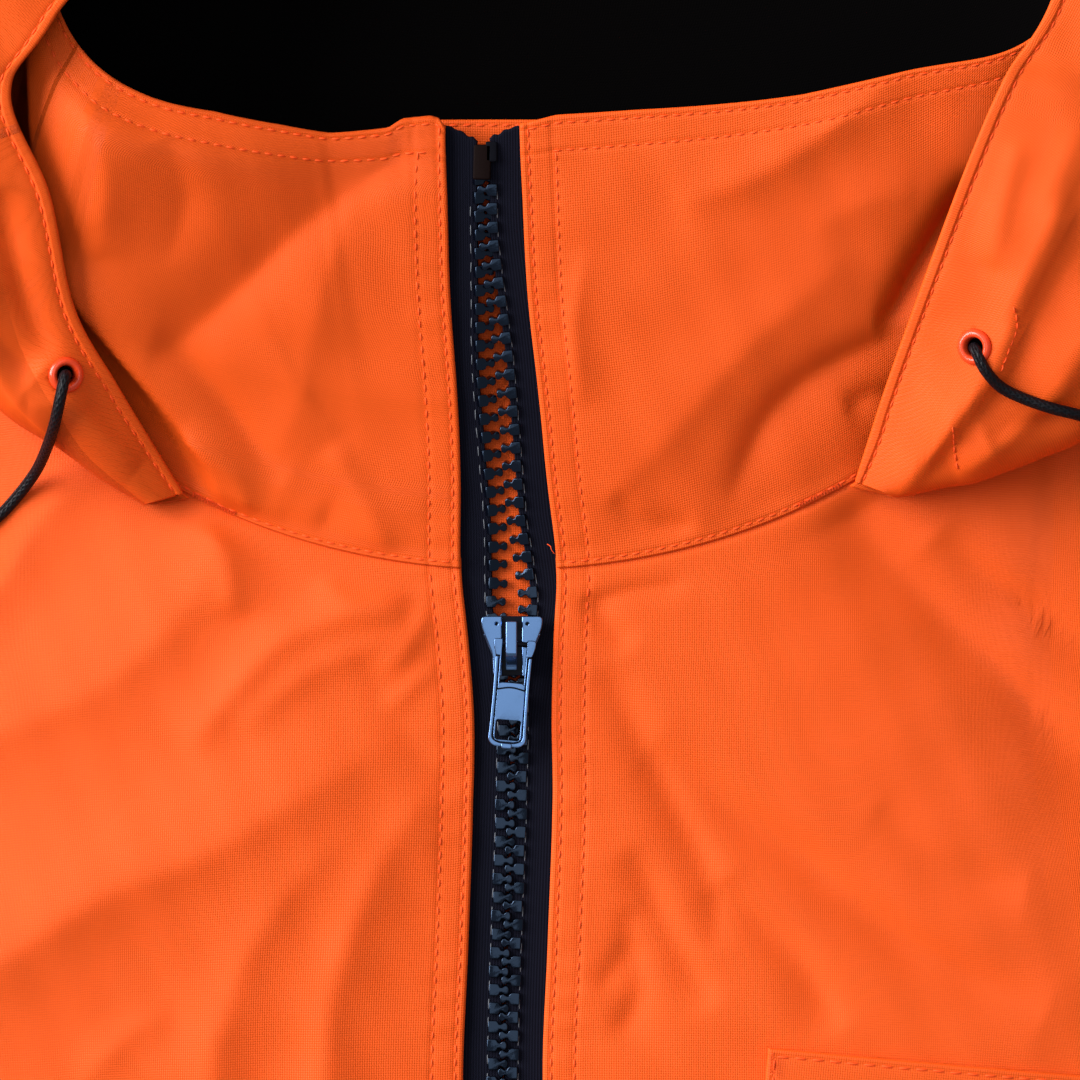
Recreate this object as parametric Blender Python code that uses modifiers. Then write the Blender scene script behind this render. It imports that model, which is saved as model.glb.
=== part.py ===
"""Hooded hi-vis work jacket, laid flat on its back with the top of its zip open.

Sizes are in millimetres and turn into metres as each mesh is made. +X is the wearer's left, +Y runs from the hem up to
the hood and +Z is up from the surface the jacket lies on. Places are measured from the point where the zip crosses the
neck seam, and the empty that carries every piece moves them to the jacket's own frame, the middle of its footprint.
"""

from collections import namedtuple
from math import atan2, cos, pi, radians, sin

import bmesh
import bpy
from mathutils import Matrix, Vector

MM = 0.001

# Body, all measured from the neck point, on the flat garment.
HEM_Y = -710.0
HEM_X = 308.0
UNDERARM = Vector((315.0, -215.0, 0.0))
SHOULDER = Vector((265.0, 38.0, 0.0))
ARMHOLE_BOW = 30.0
CUFF_OUTER = Vector((676.0, -452.0, 0.0))
CUFF_INNER = Vector((561.0, -548.0, 0.0))
NECK_HALF = 118.0
NECK_FRONT_DEPTH = 90.0
NECK_BACK_DEPTH = 22.0
HOOD_TOP_Y = 335.0
NECK_Y = -(HEM_Y + HOOD_TOP_Y) / 2

# Walls and the gaps that keep pieces apart.
SHELL = 1.5
THIN = 1.2
LINING = 1.0
LINING_DEPTH = 1.9
BAND = 1.0
GAP = 0.3
SEAM = 0.4

# Heights above the surface.
BACK_Z = BAND + GAP
SIDE_Z = BACK_Z + SHELL + GAP + SHELL
NECK_SIDE_Z = 8.5
NECK_FRONT_Z = 23.0
NECK_BACK_Z = 3.2
WAIST_Z = 20.0
HEM_Z = 14.0
WAIST_Y = -250.0
COLLAR_TOP_Z = 41.5
COLLAR_TOP_Y = 92.0
FULLNESS = 8.0
ARM_DOME = 10.3
SLEEVE_EDGE = 5.0
SLEEVE_FOLD = 1.3
SLEEVE_GAP = 0.003

# Reflective bands: (lower edge, upper edge) on the body, and as shares of the sleeve from armhole to cuff.
BODY_BANDS = {"upper": (-380.0, -330.0), "lower": (-580.0, -530.0)}
BAND_LIFT = 1.7
SLEEVE_BANDS = {"upper": (0.50, 0.58), "lower": (0.74, 0.82)}

POCKET_CORNER = Vector((54.0, -99.4, 0.0))
POCKET_WIDTH = 130.0
POCKET_HEIGHT = 150.0
POCKET_SLOPE = radians(-5.2)
POCKET_LIFT = 2.1

# The zip: the cloth's edges beside it, and the lines on which its two rows of teeth are moulded.
ZipRow = namedtuple("ZipRow", "y right left")
CLOTH_EDGES = [
    ZipRow(-710.0, -9.0, 9.0),
    ZipRow(-250.0, -9.2, 8.6),
    ZipRow(-106.0, -9.6, 7.1),
    ZipRow(-79.0, -8.5, 8.1),
    ZipRow(-48.0, -7.5, 9.2),
    ZipRow(-31.0, -7.3, 9.0),
    ZipRow(-14.6, -8.5, 9.4),
    ZipRow(0.0, -10.0, 10.0),
    ZipRow(19.0, -10.0, 7.9),
    ZipRow(35.0, -10.6, 6.3),
    ZipRow(56.0, -12.0, 4.0),
    ZipRow(77.0, -12.6, 2.9),
    ZipRow(92.0, -13.1, 2.3),
]
TEETH_LINES = [
    ZipRow(-700.0, -2.7, 2.7),
    ZipRow(-250.0, -2.8, 2.6),
    ZipRow(-106.0, -4.0, 1.4),
    ZipRow(-40.0, -2.0, 3.4),
    ZipRow(-23.0, -1.9, 3.5),
    ZipRow(-16.0, -2.6, 4.2),
    ZipRow(-8.0, -4.3, 5.6),
    ZipRow(0.0, -4.5, 4.9),
    ZipRow(10.0, -4.7, 3.3),
    ZipRow(27.0, -6.0, 1.9),
    ZipRow(43.0, -7.1, 0.6),
    ZipRow(54.0, -7.2, -0.8),
    ZipRow(69.0, -7.3, -2.6),
    ZipRow(84.0, -7.4, -2.8),
]
ZIP_STEPS = [*range(-650, -100, 50), -80, -55, -40, -30, -23, -16, -12, -8, -4, 0, *range(6, 84, 7)]
TEETH_BOTTOM_Y = -698.0
TEETH_TOP_Y = 84.0
TEETH_REACH = 2.1
TEETH_BACK = 0.5
TEETH_DEPTH = 1.0
TEETH_HEIGHT = 2.6
TAPE_DEPTH = 2.0
TAPE_UNDER = 7.0
GUARD_DEPTH = 5.8
GUARD_HALF = 17.0
GUARD_TOP_Y = 92.8

SLIDER_X = 0.8
SLIDER_TOP_Y = -9.6
SLIDER_PLATE = 1.5
SLIDER_PLATE_Z = -0.6
SLIDER_UNDER_Z = -5.3
CROWN_HALF = 1.2
CROWN_HEIGHT = 4.2
CROWN_WALL = 1.2
TAB_THICKNESS = 1.5
TAB_PIVOT = Vector((1.3, -15.35, 0.0))
TAB_ANGLE = radians(-4.8)

# The collar's top edge, by the angle round the neck from the zip: the wearer's right is negative.
EdgeRow = namedtuple("EdgeRow", "angle x y z")
COLLAR_TOP = [
    EdgeRow(-180.0, 5.0, 162.0, 4.6),
    EdgeRow(-150.0, -55.0, 168.0, 6.5),
    EdgeRow(-120.0, -92.0, 176.0, 14.0),
    EdgeRow(-90.0, -99.0, 160.0, 32.0),
    EdgeRow(-75.0, -95.5, 130.0, 43.0),
    EdgeRow(-60.0, -87.5, 108.0, 47.0),
    EdgeRow(-45.0, -70.0, 96.0, 46.0),
    EdgeRow(-25.0, -38.0, 90.5, 42.5),
    EdgeRow(-5.0, -13.1, 92.0, COLLAR_TOP_Z),
    EdgeRow(5.0, 2.3, 92.0, COLLAR_TOP_Z),
    EdgeRow(25.0, 44.0, 95.4, 43.0),
    EdgeRow(45.0, 80.0, 102.0, 46.0),
    EdgeRow(60.0, 103.0, 107.0, 47.0),
    EdgeRow(75.0, 114.0, 130.0, 43.0),
    EdgeRow(90.0, 118.0, 160.0, 32.0),
    EdgeRow(120.0, 108.0, 176.0, 14.0),
    EdgeRow(150.0, 68.0, 168.0, 6.5),
    EdgeRow(180.0, 5.0, 162.0, 4.6),
]
COLLAR_START = 5.0
ZIP_REACH = 25.0
COLLAR_BULGE = 4.0

# The hood, in sections from the neck seam out over the shoulder, round its outer roll and back to the brim.
HoodRow = namedtuple("HoodRow", "seam_x seam_y out_x out_y out_z brim_x brim_y brim_z")
HOOD_LEFT = [
    HoodRow(71.5, 17.5, 80.0, 15.5, 24.0, 73.0, 21.0, 27.5),
    HoodRow(89.0, 29.5, 103.0, 20.0, 24.0, 78.5, 40.0, 34.0),
    HoodRow(106.0, 46.5, 130.0, 34.0, 23.0, 86.0, 62.0, 43.0),
    HoodRow(117.0, 66.0, 152.0, 58.0, 22.0, 93.5, 83.0, 51.0),
    HoodRow(122.5, 84.0, 164.0, 84.0, 22.0, 101.0, 100.5, 53.0),
    HoodRow(124.5, 98.0, 170.0, 115.0, 22.0, 111.5, 119.0, 52.0),
    HoodRow(106.0, 92.5, 172.0, 170.0, 20.0, 122.0, 165.0, 47.0),
    HoodRow(60.0, 74.5, 130.0, 285.0, 18.0, 92.0, 245.0, 37.0),
    HoodRow(30.0, 71.0, 75.0, 322.0, 16.0, 52.0, 280.0, 31.0),
    HoodRow(0.0, 69.4, 0.0, HOOD_TOP_Y, 15.0, 0.0, 290.0, 28.0),
]
HOOD_RIGHT = [
    HoodRow(-67.0, 15.0, -76.0, 13.5, 24.0, -69.0, 18.5, 27.5),
    HoodRow(-85.0, 26.5, -93.0, 24.5, 24.0, -80.5, 38.0, 34.0),
    HoodRow(-101.0, 41.0, -110.0, 37.0, 24.0, -89.0, 54.0, 41.0),
    HoodRow(-115.0, 63.0, -130.0, 60.0, 24.0, -93.5, 77.0, 49.0),
    HoodRow(-122.0, 84.5, -150.0, 84.0, 24.0, -101.0, 97.0, 54.0),
    HoodRow(-124.0, 98.0, -160.0, 110.0, 24.0, -92.0, 112.0, 56.0),
    HoodRow(-106.0, 92.5, -166.0, 170.0, 22.0, -70.0, 150.0, 54.0),
    HoodRow(-60.0, 74.5, -128.0, 285.0, 18.0, -88.0, 240.0, 39.0),
    HoodRow(-30.0, 71.0, -75.0, 322.0, 16.0, -52.0, 280.0, 31.0),
    HOOD_LEFT[-1],
]
HOOD_SIDE_ROWS = 7.2
HOOD_SEAM_ROWS = 0.012
HOOD_STEPS = 11
HOOD_CREST = 2.5
HOOD_CLEARANCE = 0.8

EYELET_LEFT = Vector((95.6, 45.8, 0.0))
EYELET_RIGHT = Vector((-91.0, 40.2, 0.0))
EYELET_RADIUS = 2.9
EYELET_WALL = 0.85

# The drawcords' free ends: up through the eyelet, over the hood's corner and down onto the front, to a knot.
RoutePoint = namedtuple("RoutePoint", "x y z")
CORD_DIAMETER = 2.4
KNOT_RADIUS = 2.8
CORD_ROUTES = {
    "left": [
        RoutePoint(95.6, 45.8, 41.2),
        RoutePoint(95.8, 45.0, 43.8),
        RoutePoint(97.7, 41.0, 44.4),
        RoutePoint(101.2, 37.5, 42.4),
        RoutePoint(106.0, 35.2, 41.6),
        RoutePoint(111.5, 33.3, 41.4),
        RoutePoint(117.0, 32.0, 39.8),
        RoutePoint(122.5, 30.5, 36.2),
        RoutePoint(128.0, 28.0, 29.8),
        RoutePoint(132.5, 25.2, 22.4),
        RoutePoint(138.0, 21.0, 17.2),
        RoutePoint(144.0, 15.5, 16.2),
        RoutePoint(152.0, 5.0, 16.2),
        RoutePoint(160.0, -8.0, 16.6),
        RoutePoint(165.0, -22.0, 17.7),
        RoutePoint(166.0, -36.0, 19.6),
    ],
    "right": [
        RoutePoint(-91.0, 40.2, 39.0),
        RoutePoint(-91.1, 39.4, 41.6),
        RoutePoint(-92.0, 35.0, 42.0),
        RoutePoint(-93.4, 30.0, 38.6),
        RoutePoint(-95.6, 25.2, 31.5),
        RoutePoint(-98.6, 20.4, 23.4),
        RoutePoint(-103.0, 15.0, 19.9),
        RoutePoint(-108.0, 10.0, 19.5),
        RoutePoint(-120.0, 1.0, 18.9),
        RoutePoint(-134.0, -7.0, 18.6),
        RoutePoint(-150.0, -12.0, 17.9),
        RoutePoint(-166.0, -14.0, 17.1),
        RoutePoint(-182.0, -12.0, 17.2),
    ],
}

MATERIALS = {
    "shell_orange": ((1.0, 0.16, 0.015), 0.55, 0.0),
    "lining_black": ((0.008, 0.008, 0.012), 0.9, 0.0),
    "reflective": ((0.62, 0.63, 0.64), 0.35, 0.2),
    "zip_tape": ((0.008, 0.01, 0.022), 0.85, 0.0),
    "zip_teeth": ((0.008, 0.01, 0.02), 0.3, 0.0),
    "zip_metal": ((0.02, 0.035, 0.08), 0.18, 0.6),
    "eyelet_red": ((0.9, 0.12, 0.04), 0.2, 0.0),
    "cord_black": ((0.01, 0.01, 0.012), 0.7, 0.0),
}


# --- Numbers ----------------------------------------------------------------------------------------------


def mix(a, b, t):
    return a * (1 - t) + b * t


def ramp(t):
    t = min(max(t, 0.0), 1.0)
    return t * t * (3 - 2 * t)


def through(rows, t):
    """A smooth row between the rows of a table, with t counting rows from 0."""
    last = len(rows) - 1
    t = min(max(t, 0.0), float(last))
    i = min(int(t), last - 1)
    f = t - i
    quads = zip(rows[max(i - 1, 0)], rows[i], rows[i + 1], rows[min(i + 2, last)])
    return type(rows[0])(
        *(
            b + 0.5 * f * (c - a + f * (2 * a - 5 * b + 4 * c - d + f * (3 * (b - c) + d - a)))
            for a, b, c, d in quads
        )
    )


def row_at(rows, key):
    """The smooth row whose first column is key."""
    i = 0
    while i < len(rows) - 2 and key > rows[i + 1][0]:
        i += 1
    return through(rows, i + (key - rows[i][0]) / (rows[i + 1][0] - rows[i][0]))


def normal_at(place, u, v, step=1e-3):
    along_u = place(u + step, v) - place(u - step, v)
    along_v = place(u, v + step) - place(u, v - step)
    return along_u.cross(along_v).normalized()


def find(place, x, y, u=0.5, v=0.5):
    """The (u, v) at which a surface passes over the point (x, y), by Newton's method."""
    step = 1e-3
    for _ in range(12):
        here = place(u, v)
        du = (place(u + step, v) - here) / step
        dv = (place(u, v + step) - here) / step
        miss_x = x - here.x
        miss_y = y - here.y
        det = du.x * dv.y - dv.x * du.y
        u += (miss_x * dv.y - dv.x * miss_y) / det
        v += (du.x * miss_y - miss_x * du.y) / det
        u = min(max(u, -0.2), 1.2)
        v = min(max(v, -0.2), 1.2)
    return u, v


# --- Outlines ---------------------------------------------------------------------------------------------


def neck_z(angle):
    """Height of the neck seam at an angle round the neck."""
    if abs(angle) <= 90:
        return NECK_SIDE_Z + (NECK_FRONT_Z - NECK_SIDE_Z) * cos(radians(angle))
    return NECK_SIDE_Z + (NECK_SIDE_Z - NECK_BACK_Z) * cos(radians(angle))


def neck(angle):
    """The neck seam: 0 at the zip, 90 at the wearer's left shoulder, 180 at the back."""
    turn = radians(angle)
    if abs(angle) <= 90:
        y = NECK_FRONT_DEPTH * (1 - cos(turn))
    else:
        y = NECK_FRONT_DEPTH - NECK_BACK_DEPTH * cos(turn) ** 2
    return Vector((NECK_HALF * sin(turn), y, neck_z(angle)))


def armhole(t):
    """The armhole seam from the underarm up to the shoulder, on the wearer's left."""
    point = mix(UNDERARM, SHOULDER, t)
    point.x -= ARMHOLE_BOW * sin(pi * t)
    point.z = SIDE_Z + (ARM_DOME + SLEEVE_EDGE - SIDE_Z + BACK_Z) * max(sin(pi * t), 0.0) ** 0.7
    return point


def zip_z(y):
    """Height of the front's surface along the zip."""
    if y > 0:
        return mix(NECK_FRONT_Z, COLLAR_TOP_Z, y / COLLAR_TOP_Y)
    if y > WAIST_Y:
        return mix(NECK_FRONT_Z, WAIST_Z, ramp(y / WAIST_Y))
    return mix(WAIST_Z, HEM_Z, ramp((y - WAIST_Y) / (HEM_Y - WAIST_Y)))


def front_edges(side):
    """The four edges of a front, each as a function of 0 to 1: centre, outer, hem and top. side is 1 on
    the left."""
    column = "left" if side > 0 else "right"
    neck_share = 0.5
    side_share = (UNDERARM.y - HEM_Y) / (SHOULDER.y - HEM_Y)

    def centre(v):
        y = mix(HEM_Y, 0.0, v)
        return Vector((getattr(row_at(CLOTH_EDGES, y), column), y, zip_z(y)))

    def outer(v):
        if v < side_share:
            t = v / side_share
            point = Vector((mix(HEM_X, UNDERARM.x, t), mix(HEM_Y, UNDERARM.y, t), SIDE_Z))
        else:
            point = armhole((v - side_share) / (1 - side_share))
        point.x *= side
        return point

    def hem(u):
        a, b = centre(0), outer(0)
        return Vector((mix(a.x, b.x, u), HEM_Y, SIDE_Z + (HEM_Z - SIDE_Z) * (1 - u**4)))

    def top(u):
        if u < neck_share:
            start = centre(1)
            angle = mix(atan2(abs(start.x), NECK_HALF) * 180 / pi, 90, u / neck_share)
            point = neck(angle)
            point.y -= (1 - u / neck_share) * neck(atan2(abs(start.x), NECK_HALF) * 180 / pi).y
        else:
            t = (u - neck_share) / (1 - neck_share)
            point = mix(neck(90), SHOULDER, t)
            point.z = mix(NECK_SIDE_Z, SIDE_Z, ramp(t * 2.5))
        point.x *= side
        return point

    return centre, outer, hem, top


def front_place(side):
    """The outer face of a front: u from the zip to the side, v from the hem to the shoulder."""
    centre, outer, hem, top = front_edges(side)

    def place(u, v):
        sides = mix(centre(v), outer(v), u)
        ends = mix(hem(u), top(u), v)
        corners = mix(mix(centre(0), outer(0), u), mix(centre(1), outer(1), u), v)
        full = FULLNESS * sin(pi * min(max(u, 0), 1)) * sin(pi * min(max(v, 0), 1))
        return sides + ends - corners + Vector((0, 0, full))

    return place


def collar_place(depth=0.0):
    """The collar: angle in degrees round the neck, v from the seam to the top edge, depth mm inside its face."""

    def face(angle, v):
        wrapped = (angle + 180) % 360 - 180
        base = neck(wrapped)
        edge = row_at(COLLAR_TOP, wrapped)
        tip = Vector((edge.x, edge.y, edge.z))
        if abs(wrapped) < ZIP_REACH:
            column = "left" if wrapped > 0 else "right"
            near = 1 - (abs(wrapped) - COLLAR_START) / (ZIP_REACH - COLLAR_START)
            zip_edge = getattr(row_at(CLOTH_EDGES, mix(0.0, COLLAR_TOP_Y, v)), column)
            start = neck(COLLAR_START if wrapped > 0 else -COLLAR_START)
            end = CLOTH_EDGES[-1].left if wrapped > 0 else CLOTH_EDGES[-1].right
            straight = mix(start.x, end, v)
            shift = (zip_edge - straight) * max(near, 0.0) ** 2
        else:
            shift = 0.0
        point = mix(base, tip, v)
        outward = Vector((sin(radians(wrapped)), 0, cos(radians(wrapped))))
        bulge = COLLAR_BULGE * sin(radians(wrapped)) ** 2 * sin(pi * v)
        return point + outward * bulge + Vector((shift, 0, 0))

    def place(angle, v):
        if depth == 0:
            return face(angle, v)
        across = face(angle + 1, v) - face(angle - 1, v)
        upward = face(angle, v + 0.01) - face(angle, v - 0.01)
        inward = across.cross(upward)
        return face(angle, v) - inward.normalized() * depth

    return place


FRONTS = {"left": front_place(1), "right": front_place(-1)}


def shelf(x, y):
    """Height of what a hood section rests on: the front where there is one, and the surface past its
    shoulder seam."""
    shoulder_y = mix(NECK_FRONT_DEPTH, SHOULDER.y, (abs(x) - NECK_HALF) / (SHOULDER.x - NECK_HALF))
    past = y - shoulder_y
    turn = min(abs(x) / NECK_HALF, 1.0)
    if abs(x) < NECK_HALF and y > NECK_FRONT_DEPTH - NECK_BACK_DEPTH * (1 - turn * turn) - 0.5:
        return 0.0
    if past > 0:
        return mix(NECK_SIDE_Z + HOOD_CLEARANCE, 0.0, ramp((past - 6) / 10))
    place = FRONTS["left" if x > 0 else "right"]
    u, v = find(place, x, min(y, shoulder_y), 0.4, 0.95)
    return place(min(max(u, 0), 1), min(v, 1.0)).z + HOOD_CLEARANCE


def hood_place(depth=0.0):
    """The hood: row counts round it from the left front corner to the right one, v runs from the seam to
    the brim."""
    rows = HOOD_LEFT + HOOD_RIGHT[-2::-1]

    def face(row, v):
        at = through(rows, row)
        turn = pi * min(max(v, 0.0), 1.0)
        reach = sin(turn) ** 0.7
        out = Vector((at.out_x, at.out_y, 0))
        if turn < pi / 2:
            point = mix(Vector((at.seam_x, at.seam_y, 0)), out, reach)
            low = shelf(point.x, point.y)
            point.z = mix(low, at.out_z, (1 - cos(turn)) ** 2)
        else:
            point = mix(Vector((at.brim_x, at.brim_y, 0)), out, reach)
            point.z = mix(at.out_z, at.brim_z, (-cos(turn)) ** 0.6) + HOOD_CREST * sin(2 * turn - pi)
        return point

    def place(row, v):
        if depth == 0:
            return face(row, v)
        low, high = max(v - 0.02, 0.0), min(v + 0.02, 1.0)
        inward = (face(row + 0.03, v) - face(row - 0.03, v)).cross(face(row, high) - face(row, low))
        return face(row, v) - inward.normalized() * depth

    return place


# --- Making meshes ----------------------------------------------------------------------------------------


def material(name):
    found = bpy.data.materials.get(name)
    if found:
        return found
    color, roughness, metallic = MATERIALS[name]
    made = bpy.data.materials.new(name)
    made.use_nodes = True
    shader = made.node_tree.nodes["Principled BSDF"]
    shader.inputs["Base Color"].default_value = (*color, 1)
    shader.inputs["Roughness"].default_value = roughness
    shader.inputs["Metallic"].default_value = metallic
    return made


def add(name, mesh, finish):
    """An object for a mesh, in the jacket's collection and carried by its empty."""
    made = bpy.data.objects.new(name, mesh)
    bpy.data.collections["hi_vis_jacket"].objects.link(made)
    made.parent = bpy.data.objects["jacket_frame"]
    mesh.materials.append(material(finish))
    return made


def cloth(name, place, across, length, thickness, finish, flip=False, tube=False):
    """A wall of cloth: a grid laid over place(u, v), thickened away from its outer face."""
    shape = bmesh.new()
    bmesh.ops.create_grid(shape, x_segments=across, y_segments=length, size=0.5)
    for vert in shape.verts:
        vert.co = place(vert.co.x + 0.5, vert.co.y + 0.5) * MM
    if tube:
        bmesh.ops.remove_doubles(shape, verts=shape.verts, dist=1e-6)
    if flip:
        bmesh.ops.reverse_faces(shape, faces=shape.faces)
    mesh = bpy.data.meshes.new(name)
    shape.to_mesh(mesh)
    shape.free()
    mesh.shade_smooth()
    made = add(name, mesh, finish)
    wall = made.modifiers.new("wall", "SOLIDIFY")
    wall.thickness = thickness * MM
    wall.offset = -1
    wall.use_even_offset = True
    return made


def plate(name, outlines, low, high, finish, place=Matrix()):
    """A flat plate between two heights, from an outer outline and any holes in it."""
    curve = bpy.data.curves.new(name, "CURVE")
    curve.dimensions = "2D"
    curve.fill_mode = "BOTH"
    curve.extrude = (high - low) / 2 * MM
    for outline in outlines:
        line = curve.splines.new("POLY")
        line.points.add(len(outline) - 1)
        for point, (x, y) in zip(line.points, outline):
            point.co = (x * MM, y * MM, 0, 1)
        line.use_cyclic_u = True
    guide = bpy.data.objects.new(name, curve)
    bpy.context.scene.collection.objects.link(guide)
    bpy.context.view_layer.update()
    mesh = bpy.data.meshes.new_from_object(guide.evaluated_get(bpy.context.evaluated_depsgraph_get()))
    bpy.data.objects.remove(guide)
    bpy.data.curves.remove(curve)
    shape = bmesh.new()
    shape.from_mesh(mesh)
    bmesh.ops.remove_doubles(shape, verts=shape.verts, dist=1e-6)
    bmesh.ops.recalc_face_normals(shape, faces=shape.faces)
    shape.to_mesh(mesh)
    shape.free()
    mesh.transform(Matrix.Translation((0, 0, (low + high) / 2 * MM)))
    mesh.transform(place)
    mesh.name = name
    mesh.materials.clear()
    return add(name, mesh, finish)


def join(body, tools):
    """Unites plates with a body, and moves them to the helpers that don't count as pieces."""
    for tool in tools:
        union = body.modifiers.new(tool.name, "BOOLEAN")
        union.operation = "UNION"
        union.object = tool
        tool.hide_render = True
        tool.display_type = "WIRE"
        bpy.data.collections["hi_vis_jacket"].objects.unlink(tool)
        bpy.data.collections["helpers"].objects.link(tool)


def on_cloth(place, x, y, lift, guess=(0.3, 0.6)):
    """The point over (x, y) on a surface, lifted off it along its normal."""
    u, v = find(place, x, y, *guess)
    normal = normal_at(place, u, v)
    return place(u, v) + normal * (lift if normal.z > 0 else -lift)


# --- Cloth pieces -----------------------------------------------------------------------------------------


def back_panel():
    steps = 14
    half = [(HEM_X, HEM_Y)]
    half += [(p.x, p.y) for p in (armhole(i / steps) for i in range(steps + 1))]
    half += [(p.x, p.y) for p in (neck(90 + 90 * i / steps) for i in range(steps + 1))]
    outline = half + [(-x, y) for x, y in half[-2::-1]]
    plate("back", [outline], BACK_Z, BACK_Z + SHELL, "shell_orange")


def fronts():
    for name, place in FRONTS.items():
        cloth(f"front_{name}", place, 12, 18, SHELL, "shell_orange", flip=name == "right")


def sleeve_section(grow):
    """Points round a sleeve's cross-section, as (share across, mm in from that edge, height, share of the
    dome)."""
    bend = SLEEVE_FOLD + 0.6 * max(grow, 0.0)
    low = BACK_Z - grow
    high = BACK_Z + SLEEVE_EDGE + grow
    across = (0.0, 0.1, 0.22, 0.36, 0.5, 0.64, 0.78, 0.9, 1.0)
    points = [(w, (bend - grow) * (1 - 2 * w) if w in (0.0, 1.0) else 0.0, low, 0) for w in across]
    points += [(1.0, grow, low + bend, 0), (1.0, grow, high - bend, 0)]
    points += [(w, (bend - grow) * (1 - 2 * w) if w in (0.0, 1.0) else 0.0, high, 1) for w in across[::-1]]
    points += [(0.0, -grow, high - bend, 0), (0.0, -grow, low + bend, 0)]
    return points


def sleeve_place(side, start, end, grow=0.0):
    """A tube from share start to share end of the arm, following the armhole's curve at the top."""
    points = sleeve_section(grow)

    def place(u, v):
        share, inset, height, dome = points[round(u * len(points)) % len(points)]
        run = mix(start, end, v)
        seam = armhole(1 - share)
        straight = mix(SHOULDER, UNDERARM, share)
        cuff = mix(CUFF_OUTER, CUFF_INNER, share)
        point = mix(straight, cuff, run) + (seam - straight) * (1 - run) ** 3
        width = (CUFF_INNER - CUFF_OUTER).normalized() * run + Vector((0, -1, 0)) * (1 - run)
        point += width.normalized() * (inset + SEAM * (1 - 2 * share))
        point.z = height + dome * ARM_DOME * max(sin(pi * share), 0.0) ** 0.7
        point.x *= side
        return point

    return place, len(points)


def sleeves():
    for name, side in (("left", 1), ("right", -1)):
        place, count = sleeve_place(side, SLEEVE_GAP, 1.0)
        cloth(f"sleeve_{name}", place, count, 9, SHELL, "shell_orange", flip=side > 0, tube=True)
        for level, (start, end) in SLEEVE_BANDS.items():
            place, count = sleeve_place(side, start, end, BAND + GAP)
            node = f"sleeve_band_{name}_{level}"
            cloth(node, place, count, 1, BAND, "reflective", flip=side > 0, tube=True)


def collar():
    """The collar and its lining, which starts one facet in from the zip so that the two have the same
    facets."""
    outer = collar_place()
    inner = collar_place(LINING_DEPTH)
    count = 38
    facet = (360 - 2 * COLLAR_START) / count

    def shell(u, v):
        return outer(mix(COLLAR_START, 360 - COLLAR_START, u), mix(0.008, 1.0, v))

    def lining(u, v):
        return inner(mix(COLLAR_START + facet, 360 - COLLAR_START - facet, u), mix(0.014, 0.99, v))

    cloth("collar", shell, count, 4, THIN, "shell_orange")
    cloth("collar_lining", lining, count - 2, 4, LINING, "lining_black")


def hood():
    last = len(HOOD_LEFT) + len(HOOD_RIGHT) - 2
    spans = {
        "left": (0.0, HOOD_SIDE_ROWS - HOOD_SEAM_ROWS),
        "centre": (HOOD_SIDE_ROWS + HOOD_SEAM_ROWS, last - HOOD_SIDE_ROWS - HOOD_SEAM_ROWS),
        "right": (last - HOOD_SIDE_ROWS + HOOD_SEAM_ROWS, last),
    }
    outer = hood_place()
    inner = hood_place(LINING_DEPTH)
    for name, (first, end) in spans.items():
        # The lining leaves out the shell's outermost facets, and has the same facets as the rest of it.
        count = 12 if name != "centre" else 6
        rim = 1 / HOOD_STEPS
        facet = (end - first) / count
        start = first + (facet if name == "left" else 0.0)
        stop = end - (facet if name == "right" else 0.0)

        def shell(u, v):
            return outer(mix(first, end, u), v)

        def lining(u, v):
            return inner(mix(start, stop, u), mix(rim, 1 - rim, v))

        cloth(f"hood_{name}", shell, count, HOOD_STEPS, THIN, "shell_orange")
        lining_rows = round((stop - start) / facet)
        cloth(f"hood_lining_{name}", lining, lining_rows, HOOD_STEPS - 2, LINING, "lining_black")


def chest_pocket():
    across = Vector((cos(POCKET_SLOPE), sin(POCKET_SLOPE), 0))
    down = Vector((across.y, -across.x, 0))

    def place(u, v):
        point = POCKET_CORNER + across * (POCKET_WIDTH * u) + down * (POCKET_HEIGHT * (1 - v))
        return on_cloth(FRONTS["left"], point.x, point.y, POCKET_LIFT)

    cloth("chest_pocket", place, 8, 9, THIN, "shell_orange")


def body_bands():
    for level, (low, high) in BODY_BANDS.items():
        outline = [(-HEM_X, low), (HEM_X, low), (HEM_X, high), (-HEM_X, high)]
        plate(f"band_back_{level}", [outline], 0.0, BAND, "reflective")
        for name, panel in FRONTS.items():
            side = 1 if name == "left" else -1

            def place(u, v):
                x = side * mix(11.0, HEM_X - 1.0, u)
                return on_cloth(panel, x, mix(low, high, v), BAND_LIFT)

            cloth(f"band_front_{name}_{level}", place, 12, 2, BAND, "reflective", flip=side < 0)


# --- Zip --------------------------------------------------------------------------------------------------


def strip(name, edges, bottom, top, depth, thickness, finish):
    """A long strip along the zip between two side lines, at a depth below the front's surface."""
    steps = [y for y in ZIP_STEPS if bottom + 1 < y < top - 1]
    stations = [bottom, *steps, top]
    count = len(stations) - 1

    def place(u, v):
        y = stations[round(v * count)]
        first, second = edges(y)
        return Vector((mix(first, second, u), y, zip_z(y) - depth))

    cloth(name, place, 1, count, thickness, finish)


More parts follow.
